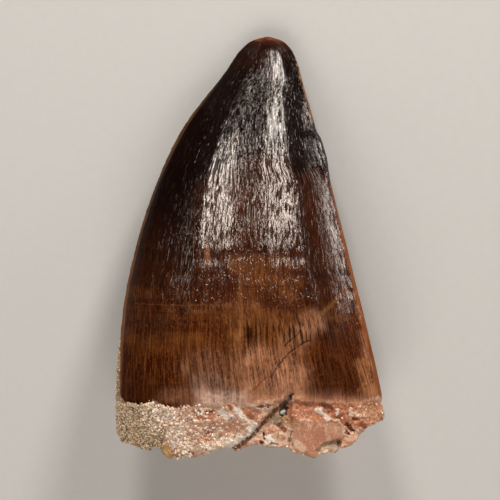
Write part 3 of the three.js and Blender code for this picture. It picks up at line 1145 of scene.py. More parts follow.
@dataclass(frozen=True)
class Wrinkles:
    """The enamel's fine wrinkles and broad folds along the crown, and its growth lines across it.

    The cells are the pattern's sizes in millimetres. A growth line is how far along the tooth it lies, how
    far it reaches to either side and how deep it is.
    """

    fine_cells: Point = (0.75, 0.75, 3.4)
    fine_height: float = 0.026
    fold_cells: Point = (2.6, 2.6, 16.0)
    fold_height: float = 0.045
    sway_cells: Point = (5.0, 5.0, 5.0)
    sway: float = 0.5
    fading_cells: Point = (3.5, 30.0, 3.5)
    fading: float = 0.45
    growth_lines: Sequence[tuple[float, float, float]] = (
        (27.0, 0.8, 0.06), (24.7, 0.75, 0.05), (22.3, 0.6, 0.02), (18.9, 0.5, 0.012), (32.5, 0.7, 0.015),
        (36.2, 0.6, 0.015), (41.0, 0.6, 0.01),
    )

    def height(self, places: np.ndarray, flow: np.ndarray) -> np.ndarray:
        """The relief of the enamel.

        Args:
            places: Plan places, one per row.
            flow: The same places along the enamel's flow.

        Returns:
            One height per place, in millimetres.
        """
        fine = 1.0 - 2.0 * np.abs(noise_at(flow, self.fine_cells, 6.0))
        folds = noise_at(flow, self.fold_cells, 7.0)
        height = self.fine_height * fine + self.fold_height * folds
        along = places[:, 1] + self.sway * noise_at(places, self.sway_cells, 8.0)
        faint = 1.0 - self.fading + self.fading * noise_at(places, self.fading_cells, 8.5)
        for middle, reach, depth in self.growth_lines:
            height -= depth * faint * np.exp(-(((along - middle) / reach) ** 2))
        return height


@dataclass
class Tooth:
    """The crown and root in one skin."""

    plan: Plan
    rim: EnamelRim
    view: View
    root_damage: RootDamage = RootDamage()
    stains_and_sheen: CrownStainsAndSheen = CrownStainsAndSheen()
    split: Split = Split()
    facets: Facets = Facets()
    shoulder: Shoulder = Shoulder()
    wrinkles: Wrinkles = Wrinkles()
    grid: float = 0.24
    unseen_share: float = 0.3
    facet_angle: float = 14.0
    facet_shape: float = 60.0
    sharp_angle: float = 32.0
    skin_smoothing: int = 2
    crown_smoothing: int = 10
    split_smoothing: int = 4
    crown_starts: tuple[float, float] = (0.6, 2.0)
    tip_stretch: float = 0.2
    tip_reach: tuple[float, float] = (34.0, 56.8)
    worn_tip: tuple[float, float] = (54.5, 56.5)
    low_half: float = 11.0
    upper_half: float = 15.0
    face_top: float = 18.0
    turned_down: float = -0.3
    turned_up: float = 0.1
    turned_back: float = 0.75
    clear_of_rim: float = 1.0
    fine_to_rim: float = 0.6
    bare_from: tuple[float, float] = (-0.1, 0.5)
    broken_from: tuple[float, float] = (0.45, 0.8)
    root_lumps: Lumps = Lumps(1.5, 0.7, 0.6, 1.0, 2.0)
    root_lump_height: float = 0.26
    root_grains: Lumps = Lumps(0.36, 0.2, 0.5, 3.0, 3.5)
    root_grain_height: float = 0.17
    break_lumps: Lumps = Lumps(2.2, 0.9, 0.6, 4.0, 5.0)
    break_height: float = 0.45
    plate_smoothness: float = 0.8
    worn_left: tuple[float, float] = (122.0, 152.0)
    worn_right: tuple[float, float] = (2.0, 13.0)
    wear: float = 0.88

    def build(self) -> bpy.types.Object:
        """Makes the tooth's mesh.

        Returns:
            The finished object, without its material.
        """
        piece = Bench.copy_of(self.plan.node, "fossil_tooth")
        self.round_off(piece)
        Bench.finish_with(piece, "REMESH", mode="VOXEL", voxel_size=self.grid * MM, adaptivity=0.0)
        self.settle(piece)
        self.cut_facets(piece)
        self.share_out_faces(piece)
        self.fill_split(piece)
        self.carve_root(piece)
        self.wrinkle_enamel(piece)
        self.leave_marks(piece)
        Bench.hold(piece)
        bpy.ops.object.shade_smooth()
        return piece

    def round_off(self, piece: bpy.types.Object) -> None:
        """Turns the crown's facets into smooth curves and keeps the broken edges crisp.

        Args:
            piece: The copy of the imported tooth.
        """
        bpy.ops.object.mode_set(mode="EDIT")
        bpy.ops.mesh.select_all(action="SELECT")
        bpy.ops.mesh.tris_convert_to_quads(
            face_threshold=math.radians(self.facet_angle), shape_threshold=math.radians(self.facet_shape),
        )
        bpy.ops.mesh.select_all(action="DESELECT")
        bpy.ops.mesh.select_mode(type="EDGE")
        bpy.ops.mesh.edges_select_sharp(sharpness=math.radians(self.sharp_angle))
        bpy.ops.transform.edge_crease(value=1.0)
        bpy.ops.mesh.select_mode(type="VERT")
        bpy.ops.object.mode_set(mode="OBJECT")
        Bench.finish_with(piece, "SUBSURF", levels=2, render_levels=2)

    def settle(self, piece: bpy.types.Object) -> None:
        """Smooths the crown more than the root, whose edges stay sharp.

        Args:
            piece: The tooth so far.
        """
        gap = self.rim.gap(self.plan, self.plan.of(piece))
        Bench.finish_with(piece, "SMOOTH", factor=0.5, iterations=self.skin_smoothing)
        Bench.smooth_part(piece, smoothstep(gap, *self.crown_starts), self.crown_smoothing)

    def cut_facets(self, piece: bpy.types.Object) -> None:
        """Flattens the crown's cheek side into faces and draws the right shoulder and the rounded tip out.

        Args:
            piece: The tooth so far.
        """
        places = self.plan.of(piece)
        middle, _, height, _ = self.plan.section(places[:, 1])
        factor = (self.facets.reach(self.plan.angles(places)) - 1.0) * self.facets.share(places[:, 1])
        places[:, 0] += (places[:, 0] - middle) * factor
        places[:, 2] += (places[:, 2] - height) * factor
        places[:, 0] += self.shoulder.share(places[:, 1], self.plan.angles(places))
        places[:, 1] += self.tip_stretch * smoothstep(places[:, 1], *self.tip_reach)
        Bench.move_to(piece, (places - self.plan.shift) * MM)

    def share_out_faces(self, piece: bpy.types.Object) -> None:
        """Makes the faces of the upper root finer and those that lie underneath or behind coarser.

        Args:
            piece: The tooth so far.
        """
        places, facing = self.plan.of(piece), Bench.facings(piece)
        gap = self.rim.gap(self.plan, places)
        low, below_top = places[:, 2] < self.low_half, places[:, 2] < self.face_top
        under = (facing[:, 2] < self.turned_down) & low & (gap > self.clear_of_rim)
        Bench.choose(piece, under | ((facing[:, 1] < -self.turned_back) & below_top))
        bpy.ops.mesh.decimate(ratio=self.unseen_share)
        bpy.ops.object.mode_set(mode="OBJECT")
        places, facing = self.plan.of(piece), Bench.facings(piece)
        gap = self.rim.gap(self.plan, places)
        upper = (places[:, 2] > self.upper_half) & (facing[:, 2] > self.turned_up)
        Bench.choose(piece, (gap < self.fine_to_rim) & upper)
        bpy.ops.mesh.subdivide(number_cuts=1)
        bpy.ops.object.mode_set(mode="OBJECT")

    def fill_split(self, piece: bpy.types.Object) -> None:
        """Lifts the floor of the crack and of the hollow to where the sediment reaches.

        Args:
            piece: The tooth so far.
        """
        places = self.plan.of(piece)
        lifted = np.maximum(self.split.floor(places) - places[:, 2], 0.0)
        moved = Bench.places(piece)
        moved[:, 2] += lifted * MM
        Bench.move_to(piece, moved)
        Bench.smooth_part(piece, np.sign(lifted), self.split_smoothing)

    def carve_root(self, piece: bpy.types.Object) -> None:
        """Gives the root its lumps, pits and ridges, and the broken face its roughness.

        Args:
            piece: The tooth so far.
        """
        places, facing = self.plan.of(piece), Bench.facings(piece)
        bare = smoothstep(-self.rim.gap(self.plan, places), *self.bare_from)
        broken = smoothstep(-facing[:, 1], *self.broken_from) * bare
        canvas = Canvas(self.view, places, facing)
        plate = canvas.cover([self.root_damage.plate])
        lumps, grains = self.root_lumps.at(places), self.root_grains.at(places)
        side = bare * (1.0 - broken) * (1.0 - self.plate_smoothness * plate)
        height = side * (self.root_lump_height * lumps + self.root_grain_height * grains)
        rough = self.break_height * self.break_lumps.at(places) + self.root_grain_height * grains
        height += broken * rough
        height += canvas.relief(self.root_damage.everywhere()) * smoothstep(bare, 0.0, 0.3)
        Bench.raise_by(piece, height * off_the_floor(places))

    def wrinkle_enamel(self, piece: bpy.types.Object) -> None:
        """Raises the wrinkles, folds and growth lines of the enamel, but not on the worn tip.

        Args:
            piece: The tooth so far.
        """
        places = self.plan.of(piece)
        enamel = smoothstep(self.rim.gap(self.plan, places), 0.0, 0.8) * off_the_floor(places)
        tip = 1.0 - smoothstep(places[:, 1], *self.worn_tip)
        Bench.raise_by(piece, enamel * tip * self.wrinkles.height(places, self.plan.flow(places)))

    def leave_marks(self, piece: bpy.types.Object) -> None:
        """Stores what the material needs: the flow of the enamel, its rim, and the touches of colour.

        Args:
            piece: The tooth in its final shape.
        """
        places, facing = self.plan.of(piece), Bench.facings(piece)
        near, far = Canvas(self.view, places, facing), Canvas(self.view, places, facing, 3.2, 5.0)
        Bench.mark(piece, "root_touches", "FLOAT_COLOR", near.colours(self.root_damage.everywhere()))
        Bench.mark(piece, "crown_touches", "FLOAT_COLOR", far.colours(self.stains_and_sheen.touches))
        Bench.mark(piece, "thin_touches", "FLOAT_COLOR", near.colours(self.stains_and_sheen.thin))
        Bench.mark(piece, "flow", "FLOAT_VECTOR", self.plan.flow(places))
        turn = np.degrees(np.abs(self.plan.angles(places)))
        worn = np.maximum(smoothstep(turn, *self.worn_left), 1.0 - smoothstep(turn, *self.worn_right))
        numbers = {
            "rim_gap": self.rim.gap(self.plan, places),
            "smooth": near.cover(self.root_damage.smooth()),
            "worn": self.wear * worn,
            "matt": near.marks(self.stains_and_sheen.matt),
            "shine": near.marks(self.stains_and_sheen.shine),
        }
        for name, values in numbers.items():
            Bench.mark(piece, name, "FLOAT", values)


@dataclass(frozen=True)
class Hairline:
    """A fine crack in the enamel, in plan millimetres."""

    path: Path
    width: float
    colour: Colour
    strength: float


@dataclass(frozen=True)
class Readings:
    """What the tooth's material reads at each place of its surface.

    The gap is the height above the enamel's rim, and the hairs are the finest streaks along the enamel.
    """

    graph: Graph
    place: Socket
    flow: Socket
    across: Value
    along: Value
    gap: Value
    hairs: Value

    @classmethod
    def of(cls, plan: Plan) -> "Readings":
        """Starts the tooth's material.

        Args:
            plan: The tooth's measure.

        Returns:
            The readings, with the material's graph.
        """
        graph = Graph("enamel_and_root")
        place = graph.place(plan)
        across, along, _ = graph.parts(place)
        flow = graph.attribute("flow").outputs["Vector"]
        hairs = graph.noise(graph.drawn_out(flow, 0.024), 4.2, 3.0, 0.7)
        return cls(graph, place, flow, across, along, graph.reading("rim_gap"), hairs)


@dataclass(frozen=True)
class ToothFinish:
    """Dark, wrinkled, glossy enamel above a rough pink and cream root."""

    near_black: Colour = rgb(0.0045, 0.0015, 0.001)
    umber: Colour = rgb(0.014, 0.0028, 0.0009)
    chestnut: Colour = rgb(0.043, 0.0078, 0.0013)
    lower_brown: Colour = rgb(0.038, 0.0068, 0.0012)
    rosy: Colour = rgb(0.42, 0.2, 0.13)
    bone_dark: Colour = rgb(0.34, 0.1, 0.05)
    gloss_tint: Colour = rgb(1.0, 0.88, 0.8)
    ior: float = 1.4
    enamel_roughness: float = 0.15
    root_roughness: float = 0.75
    crown_length: float = 56.8
    hairlines: Sequence[Hairline] = (
        Hairline(((6.6, 17.3), (5.6, 16.1), (4.5, 15.4)), 0.1, BLACK_BROWN, 0.8),
        Hairline(((7.95, 15.8), (5.5, 14.4), (4.2, 12.8)), 0.1, TAN, 0.25),
        Hairline(((7.8, 16.1), (5.4, 14.7), (4.05, 13.0), (2.7, 11.2)), 0.1, BLACK_BROWN, 0.8),
        Hairline(((2.8, 11.6), (1.5, 10.4), (0.1, 9.2)), 0.12, DARK_RED, 0.75),
        Hairline(((17.3, 11.25), (15.8, 10.35), (14.3, 9.3)), 0.16, TAN, 0.25),
        Hairline(((17.2, 10.9), (15.7, 10.0), (14.2, 8.9)), 0.1, AMBER, 0.75),
        Hairline(((9.7, 11.6), (8.2, 10.5), (6.6, 9.4)), 0.07, DARK_RED, 0.45),
        Hairline(((-5.4, 27.85), (-1.0, 27.75), (3.2, 27.9), (6.4, 28.0)), 0.09, BLACK_BROWN, 0.8),
        Hairline(((-3.2, 23.2), (1.4, 23.1), (5.6, 23.3)), 0.08, BLACK_BROWN, 0.6),
        Hairline(((-15.4, 20.9), (-11.0, 20.7), (-6.0, 20.8)), 0.1, AMBER, 0.35),
    )

    def make(self, plan: Plan) -> bpy.types.Material:
        """Builds the material.

        Args:
            plan: The tooth's measure.

        Returns:
            The material.
        """
        at = Readings.of(plan)
        graph, place, along = at.graph, at.place, at.along
        ragged = (graph.noise(place, 1.3, 3.0) - 0.5) * 0.9 + (graph.noise(place, 4.0, 2.0) - 0.5) * 0.5
        hanging = (graph.noise(graph.drawn_out(at.flow, 0.15), 2.2, 2.0) - 0.5) * 0.9
        fraying = 0.12 + at.across.rise(-9.5, -6.0) * 0.45
        enamel = ((at.gap + ragged + hanging) / fraying).rise(-1.0, 1.0)
        grit = graph.noise(place, 2.6, 5.0, 0.7) * 0.6 + graph.noise(place, 6.5, 3.0, 0.75) * 0.4
        height = self.enamel_height(at) * enamel + grit * 0.5 * (1.0 - enamel)
        dull = along.rise(24.0, 8.0) * 0.06 - along.rise(34.0, 46.0) * 0.05 + along.rise(55.5, 57.0) * 0.15
        glossy = self.enamel_roughness + dull + (at.hairs - 0.5) * 0.06
        return graph.finish(
            {"IOR": self.ior, "Coat IOR": self.ior, "Coat Roughness": 0.12, "Specular Tint": self.gloss_tint},
            {
                "Base Color": graph.mix(enamel, self.root_colour(at, grit), self.enamel_colour(at)),
                "Roughness": glossy * enamel + (1.0 - enamel) * self.root_roughness,
                "Normal": graph.bump(height + enamel * 0.05, MM),
                "Coat Weight": graph.reading("shine") * 0.36,
            },
            self.lost_gloss(at) * enamel,
        )

    def lost_gloss(self, at: Readings) -> Value:
        """How far the gloss is gone: at worn edges, on matt patches, towards the root and in grooves.

        Args:
            at: What the material reads.

        Returns:
            A number from 0, full gloss, to 1.
        """
        graph = at.graph
        netted = graph.noise(graph.drawn_out(at.flow, 0.15), 3.0, 2.0, 0.6, 0.3)
        straight = graph.noise(graph.drawn_out(at.flow, 0.07), 3.0, 2.0, 0.6, 0.12)
        upper = at.along.rise(29.0, 37.0)
        grooves = straight * upper + netted * (1.0 - upper)
        glints = graph.noise(graph.drawn_out(at.flow, 0.09), 3.1, 1.0, 0.5, 0.15)
        matt = graph.reading("matt") * (1.0 - glints.rise(0.57, 0.63) * 0.85)
        cut = grooves.rise(0.51, 0.44) * (1.0 - graph.reading("shine") * 0.5) * 0.92
        return graph.reading("worn").most(matt).most(at.along.rise(22.0, 15.0) * 0.96).most(cut)

    def enamel_height(self, at: Readings) -> Value:
        """The wrinkles: a net of thin grooves that run along the crown, over a finer grain.

        Args:
            at: What the material reads.

        Returns:
            A height in millimetres.
        """
        graph = at.graph
        plates = graph.noise(graph.drawn_out(at.flow, 0.3), 3.9, 1.0, 0.5, 0.25).rise(0.47, 0.57)
        dashes = graph.noise(graph.drawn_out(at.flow, 0.18), 4.0, 1.0, 0.5, 0.25)
        swell = graph.noise(graph.drawn_out(at.flow, 0.3), 1.3, 2.0)
        return plates * 0.014 + dashes * 0.035 + swell * 0.02

    def enamel_colour(self, at: Readings) -> Socket:
        """The crown's colour: nearly black at the tip, chestnut with growth bands, rosy at the rim, with a
        painted sheen along the rim.

        Args:
            at: What the material reads.

        Returns:
            The colour.
        """
        graph, place, along, hairs = at.graph, at.place, at.along, at.hairs
        wander = (graph.noise(place, 0.12, 3.0) - 0.5) * 9.0
        colour = graph.ramp((along + wander) / self.crown_length, (
            (0.1, self.lower_brown), (0.28, self.chestnut), (0.46, self.umber), (0.62, self.near_black),
            (0.93, self.near_black), (1.0, self.umber),
        ))
        clouds = graph.noise(place, 0.22, 4.0, 0.6).rise(0.45, 0.75)
        colour = graph.mix(clouds * 0.4, colour, self.near_black)
        lower = along.rise(34.0, 12.0)
        bands = graph.noise(graph.stretched(place, (0.03, 0.6, 0.03)), 1.0, 4.0, 0.7).rise(0.45, 0.75)
        patchy = graph.noise(place, 0.4, 3.0).rise(0.38, 0.6)
        colour = graph.mix(bands * patchy * lower * 0.5, colour, AMBER)
        strands = graph.noise(graph.drawn_out(at.flow, 0.018), 3.3, 2.0, 0.65)
        colour = graph.mix(strands.rise(0.5, 0.7) * lower * 0.42, colour, CHESTNUT)
        colour = graph.mix(hairs.rise(0.5, 0.7) * lower * 0.36, colour, CHESTNUT)
        colour = graph.mix(strands.rise(0.5, 0.38) * lower * 0.62, colour, self.umber)
        grain = graph.noise(graph.drawn_out(at.flow, 0.5), 5.0, 1.0)
        colour = graph.mix(grain.rise(0.56, 0.7) * along.rise(27.0, 18.0) * 0.4, colour, CHESTNUT)
        skewed = at.gap + (graph.noise(place, 0.3, 3.0) - 0.5) * 5.0
        blush = skewed.rise(2.6, -0.6) * at.across.rise(-12.0, -6.0) * (hairs * 2.4 - 0.6).most(0.1)
        colour = graph.mix(blush * 0.55, colour, self.rosy)
        stains_and_sheen = graph.attribute("crown_touches")
        streaky = at.gap.rise(-0.5, 4.5) * 0.6 + 0.3
        streaks = ((strands * 0.4 + hairs * 0.6).rise(0.38, 0.6) - 0.5) * streaky + 0.72
        leathery = (graph.noise(place, 2.4, 2.0) - 0.5) * at.gap.rise(3.5, 0.5) * 0.9 + (grain - 0.5) * 0.9
        # The crown touches hold real stains and the painted sheen along the rim.
        worn = Value(graph, stains_and_sheen.outputs["Alpha"]) * (streaks + leathery) * (patchy * 0.4 + 0.7)
        colour = graph.mix(worn, colour, stains_and_sheen.outputs["Color"])
        return self.keeled(at, self.cracked(at, self.dashed(at, colour)))

    def dashed(self, at: Readings, colour: Socket) -> Socket:
        """Adds the row of short dark furrows over the middle of the crown, and fainter ones near the rim.

        Args:
            at: What the material reads.
            colour: The crown's colour so far.

        Returns:
            The colour with the furrows.
        """
        furrows = at.graph.noise(at.graph.drawn_out(at.flow, 0.07), 3.4, 1.0).rise(0.49, 0.42)
        row = at.along.bump_at(17.0, 3.2) * at.across.rise(-5.0, -1.0) * at.across.rise(14.5, 9.0)
        rim = at.along.bump_at(11.0, 3.2) * at.across.rise(-14.0, -8.0)
        return at.graph.mix(furrows * (row + rim * 0.35).least(1.0) * 0.85, colour, self.near_black)

    def cracked(self, at: Readings, colour: Socket) -> Socket:
        """Adds the hairlines that cross the crown.

        Args:
            at: What the material reads.
            colour: The crown's colour so far.

        Returns:
            The colour with the hairlines.
        """
        graph = at.graph
        sway = (graph.noise(at.place, 0.9, 3.0) - 0.5) * 0.5
        broken = graph.noise(at.place, 1.7, 2.0).rise(0.3, 0.5)
        across, along = at.across + sway, at.along - sway
        for line in self.hairlines:
            first, *others = (graph.away_from(across, along, *ends) for ends in zip(line.path, line.path[1:]))
            off = first
            for stretch in others:
                off = off.least(stretch)
            shown = off.rise(line.width * 1.3, line.width * 0.4) * broken * line.strength
            colour = graph.mix(shown, colour, line.colour)
        return colour

    def keeled(self, at: Readings, colour: Socket) -> Socket:
        """Adds the pale line of the left keel, the orange wear of the right one and the crown's thin marks.

        Args:
            at: What the material reads.
            colour: The crown's colour so far.

        Returns:
            The colour with the keels.
        """
        graph, along = at.graph, at.along
        outward, upward, _ = graph.parts(at.flow)
        wear = graph.noise(graph.drawn_out(at.flow, 0.3), 1.2, 3.0)
        fibres = graph.noise(graph.drawn_out(at.flow, 0.06), 2.6, 2.0).rise(0.35, 0.6) * 0.5 + 0.5
        pale = along.rise(53.0, 46.0) * 0.3 + along.rise(40.0, 14.0) * 0.4
        left = upward.size().rise(2.2, 1.3) * outward.rise(0.0, -2.0) * pale
        colour = graph.mix(left * (0.5 + wear) * fibres, colour, TAN)
        right = (upward.size() + wear * 2.5).rise(4.6, 3.0) * outward.rise(0.0, 2.0) * along.rise(37.0, 26.0)
        colour = graph.mix(right * fibres * 0.85, colour, KEEL)
        thin = graph.attribute("thin_touches")
        return graph.mix(Value(graph, thin.outputs["Alpha"]), colour, thin.outputs["Color"])

    def root_colour(self, at: Readings, grit: Value) -> Socket:
        """The root's colour: speckled cream, pink and red-brown bone, with its touches.

        Args:
            at: What the material reads.
            grit: The root's fine relief, whose hollows are darker.

        Returns:
            The colour.
        """
        graph, place = at.graph, at.place
        mottle = graph.noise(place, 0.6, 4.0, 0.65)
        speckle = graph.noise(place, 2.6, 4.0, 0.8)
        colour = graph.ramp(mottle * 0.45 + speckle * 0.55, (
            (0.32, BRICK), (0.41, SALMON), (0.47, PINK), (0.53, CREAM), (0.6, PINK), (0.68, WHITE),
        ))
        touches = graph.attribute("root_touches")
        frayed = Value(graph, touches.outputs["Alpha"]) + (speckle - 0.5) * 1.1
        colour = graph.mix(frayed.rise(0.22, 0.62) * 0.98, colour, touches.outputs["Color"])
        smooth = graph.reading("smooth")
        veins = graph.noise(graph.stretched(place, (1.0, 0.45, 1.0), 0.5), 1.5, 4.0, 0.75)
        colour = graph.mix(veins.rise(0.5, 0.64) * smooth * 0.55, colour, CREAM)
        colour = graph.mix(veins.rise(0.48, 0.36) * smooth * 0.6, colour, SALMON)
        flecks = graph.noise(place, 3.6, 3.0, 0.8)
        rough = 1.0 - smooth * 0.85
        colour = graph.mix(flecks.rise(0.56, 0.66) * 0.55 * rough, colour, WHITE)
        colour = graph.mix(flecks.rise(0.44, 0.33) * 0.5 * rough, colour, self.bone_dark)
        return graph.mix(grit.rise(0.46, 0.34) * 0.35 * rough, colour, self.bone_dark)


@dataclass(frozen=True)
class GrainFinish:
    """Sand grains, each with its own tint from the piece."""

    dark: Colour = rgb(0.16, 0.1, 0.05)
    roughness: float = 0.6

    def make(self) -> bpy.types.Material:
        """Builds the material.

        Returns:
            The material.
        """
        graph = Graph("sand_grains")
        tint = graph.attribute("tint").outputs["Color"]
        place = graph.own_place()
        flecks = graph.noise(place, 9000.0, 2.0)
        colour = graph.mix(flecks.rise(0.4, 0.75) * 0.2, tint, self.dark)
        return graph.finish(
            {"Roughness": self.roughness},
            {"Base Color": colour, "Normal": graph.bump(flecks, 0.03 * MM)},
        )


@dataclass(frozen=True)
class CementFinish:
    """The fine cement between the grains."""

    pale: Colour = rgb(0.42, 0.3, 0.19)
    dark: Colour = rgb(0.13, 0.085, 0.045)
    roughness: float = 0.9

    def make(self) -> bpy.types.Material:
        """Builds the material.

        Returns:
            The material.
        """
        graph = Graph("sandy_cement")
        place = graph.own_place()
        cloud = graph.noise(place, 900.0, 4.0, 0.7)
        grain = graph.noise(place, 4200.0, 3.0, 0.7)
        colour = graph.mix((cloud * 0.5 + grain * 0.5).rise(0.38, 0.62), self.dark, self.pale)
        return graph.finish(
            {"Roughness": self.roughness},
            {"Base Color": colour, "Normal": graph.bump(grain * 0.5 + cloud, 0.15 * MM)},
        )


@dataclass
class SandCrust:
    """The cemented crust on the root's left side, and its thin strip behind the left keel."""

    plan: Plan
    node: str = "matrix_crust"
    seat: float = 0.42
    grid: float = 0.17
    smoothing: int = 2
    inner_facing: float = -0.2
    side_facing: tuple[float, float] = (0.25, 0.7)
    side_height: tuple[float, float] = (12.0, 15.0)
    lump_cells: Point = (0.6, 0.6, 0.6)
    lump_height: float = 0.1
    border_cells: Point = (1.1, 1.1, 1.1)
    border_height: float = 0.7
    thinning: float = 0.3
    strip_starts: tuple[float, float] = (5.5, 8.5)
    strip_ends: tuple[float, float] = (13.0, 15.3)
    strip_top: tuple[float, float] = (14.2, 15.3)
    strip_rise: float = 1.1

    def build(self) -> bpy.types.Object:
        """Makes the crust's mesh, seated on the root.

        Returns:
            The finished object, without its material.
        """
        piece = Bench.copy_of(self.node, "sand_crust")
        self.seat_inside(piece)
        Bench.finish_with(piece, "REMESH", mode="VOXEL", voxel_size=self.grid * MM, adaptivity=0.0)
        Bench.finish_with(piece, "SMOOTH", factor=0.5, iterations=self.smoothing)
        places, facing = self.plan.of(piece), Bench.facings(piece)
        side = smoothstep(facing[:, 0], *self.side_facing) * smoothstep(places[:, 2], *self.side_height)
        lumps, border = noise_at(places, self.lump_cells, 9.0), noise_at(places, self.border_cells, 10.0)
        Bench.raise_by(piece, self.lump_height * lumps + side * self.border_height * border)
        Bench.hold(piece)
        bpy.ops.object.shade_smooth()
        return piece

    def seat_inside(self, piece: bpy.types.Object) -> None:
        """Pushes the crust's inner side on to the root, so that no gap shows, and thins its strip.

        Args:
            piece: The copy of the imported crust.
        """
        places = self.plan.of(piece)
        middle, _, height, _ = self.plan.section(places[:, 1])
        outward = np.stack([places[:, 0] - middle, np.zeros(len(places)), places[:, 2] - height], axis=1)
        outward /= np.linalg.norm(outward, axis=1)[:, None]
        inner = (Bench.facings(piece) * outward).sum(1) < self.inner_facing
        thinner = ~inner * self.thinning * smoothstep(places[:, 1], *self.strip_starts)
        thinner += ~inner * self.thinning * smoothstep(places[:, 1], *self.strip_ends)
        moved = Bench.places(piece) - outward * ((inner * self.seat + thinner) * MM)[:, None]
        moved[:, 1] += self.strip_rise * smoothstep(places[:, 1], *self.strip_top) * MM
        Bench.move_to(piece, moved)


@dataclass(frozen=True)
class Palette:
    """The tints of a kind of grain, with how common each is."""

    tints: Sequence[Colour]
    shares: Sequence[float]


SAND = Palette(
    (
        rgb(0.6, 0.42, 0.25), rgb(0.74, 0.57, 0.4), rgb(0.5, 0.42, 0.31), rgb(0.3, 0.23, 0.1),
        rgb(0.52, 0.27, 0.11), rgb(0.82, 0.7, 0.55), rgb(0.26, 0.14, 0.06),
    ),
    (0.3, 0.28, 0.12, 0.06, 0.09, 0.1, 0.05),
)
BONE_GRIT = Palette(
    (
        rgb(0.76, 0.56, 0.42), rgb(0.68, 0.38, 0.26), rgb(0.84, 0.72, 0.6), rgb(0.42, 0.13, 0.06),
        rgb(0.55, 0.3, 0.14),
    ),
    (0.32, 0.26, 0.2, 0.14, 0.08),
)
COARSE = Palette(
    (
        rgb(0.86, 0.7, 0.55), rgb(0.78, 0.56, 0.4), rgb(0.9, 0.82, 0.72), rgb(0.7, 0.43, 0.3),
        rgb(0.5, 0.4, 0.28),
    ),
    (0.34, 0.26, 0.24, 0.1, 0.06),
)


@dataclass
class Grains:
    """Angular grains that are stuck over part of a surface and joined into one mesh."""

    name: str
    palette: Palette
    per_square_mm: float
    smallest: float
    largest: float
    sunk: float
    seed: int
    small_bias: float = 1.8
    narrowest: float = 0.78
    stretching: float = 0.44
    unevenness: float = 0.18
    corner_limits: tuple[float, float] = (0.6, 1.4)
    tint_limits: tuple[float, float] = (0.75, 1.2)

    def build(self, ground: bpy.types.Object, share: np.ndarray) -> bpy.types.Object:
        """Sticks grains on a surface.

        Args:
            ground: The piece that carries the grains.
            share: How thickly grains lie at each face of the ground, from 0 to 1.

        Returns:
            The grains' object.
        """
        draw = np.random.default_rng(self.seed)
        mesh = ground.data
        mesh.calc_loop_triangles()
        count = len(mesh.loop_triangles)
        corners, owners = np.empty(count * 3, int), np.empty(count, int)
        mesh.loop_triangles.foreach_get("vertices", corners)
        mesh.loop_triangles.foreach_get("polygon_index", owners)
        a, b, c = (Bench.places(ground)[corners.reshape(-1, 3)[:, i]] for i in range(3))
        across = np.cross(b - a, c - a)
        area = np.linalg.norm(across, axis=1) / 2
        weight = area * share[owners]
        total = int(weight.sum() / MM ** 2 * self.per_square_mm)
        chosen = draw.choice(count, total, p=weight / weight.sum())
        u, v = draw.random((2, total, 1))
        fold = (u + v) > 1
        u, v = np.where(fold, 1 - u, u), np.where(fold, 1 - v, v)
        spots = a[chosen] + u * (b - a)[chosen] + v * (c - a)[chosen]
        facing = across[chosen] / (2 * area[chosen])[:, None]
        return self.scatter(draw, spots, facing)

    def scatter(self, draw: np.random.Generator, spots: np.ndarray, facing: np.ndarray) -> bpy.types.Object:
        """Copies the grain to every spot, each copy turned, sized and tinted by chance.

        Args:
            draw: Where the chances come from.
            spots: The grains' places, in metres.
            facing: The ground's direction at each.

        Returns:
            The grains' object.
        """
        corner, face = self.one_grain()
        total = len(spots)
        size = self.smallest + (self.largest - self.smallest) * draw.random(total) ** self.small_bias
        stretch = self.narrowest + self.stretching * draw.random((total, 1, 3))
        turn = self.turns(draw, total)
        local = np.einsum("nij,nvj->nvi", turn, corner[None] * stretch)
        uneven = 1.0 + self.unevenness * draw.standard_normal((total, len(corner), 1))
        local *= uneven.clip(*self.corner_limits)
        centre = spots + facing * (size * (0.5 - self.sunk) * MM)[:, None]
        places = centre[:, None] + local * (size * 0.5 * MM)[:, None, None]
        faces = face[None] + (np.arange(total) * len(corner))[:, None, None]
        mesh = bpy.data.meshes.new(self.name)
        mesh.from_pydata(places.reshape(-1, 3).tolist(), [], faces.reshape(-1, 3).tolist())
        piece = bpy.data.objects.new(self.name, mesh)
        bpy.context.scene.collection.objects.link(piece)
        shares = np.array(self.palette.shares) / sum(self.palette.shares)
        tint = np.array(self.palette.tints)[draw.choice(len(shares), total, p=shares)]
        tint[:, :3] *= draw.uniform(*self.tint_limits, (total, 1))
        Bench.mark(piece, "tint", "FLOAT_COLOR", np.repeat(tint, len(corner), axis=0))
        return piece

    @staticmethod
    def one_grain() -> tuple[np.ndarray, np.ndarray]:
        """Makes a grain of radius 1 from a small ball.

        Returns:
            Its corners, and its faces as the corners' numbers.
        """
        bpy.ops.object.select_all(action="DESELECT")
        bpy.ops.mesh.primitive_ico_sphere_add(subdivisions=1, radius=1.0)
        ball = bpy.context.object
        corner = Bench.places(ball)
        face = np.array([list(polygon.vertices) for polygon in ball.data.polygons])
        mesh = ball.data
        bpy.data.objects.remove(ball)
        bpy.data.meshes.remove(mesh)
        return corner, face

    @staticmethod
    def turns(draw: np.random.Generator, total: int) -> np.ndarray:
        """Draws turns evenly from all directions.

        Args:
            draw: Where the chances come from.
            total: How many to draw.

        Returns:
            One turning matrix each.
        """
        w, x, y, z = (q := draw.standard_normal((4, total))) / np.linalg.norm(q, axis=0)
        return np.stack([
            np.stack([1 - 2 * (y * y + z * z), 2 * (x * y - z * w), 2 * (x * z + y * w)], axis=-1),
            np.stack([2 * (x * y + z * w), 1 - 2 * (x * x + z * z), 2 * (y * z - x * w)], axis=-1),
            np.stack([2 * (x * z - y * w), 2 * (y * z + x * w), 1 - 2 * (x * x + y * y)], axis=-1),
        ], axis=1)


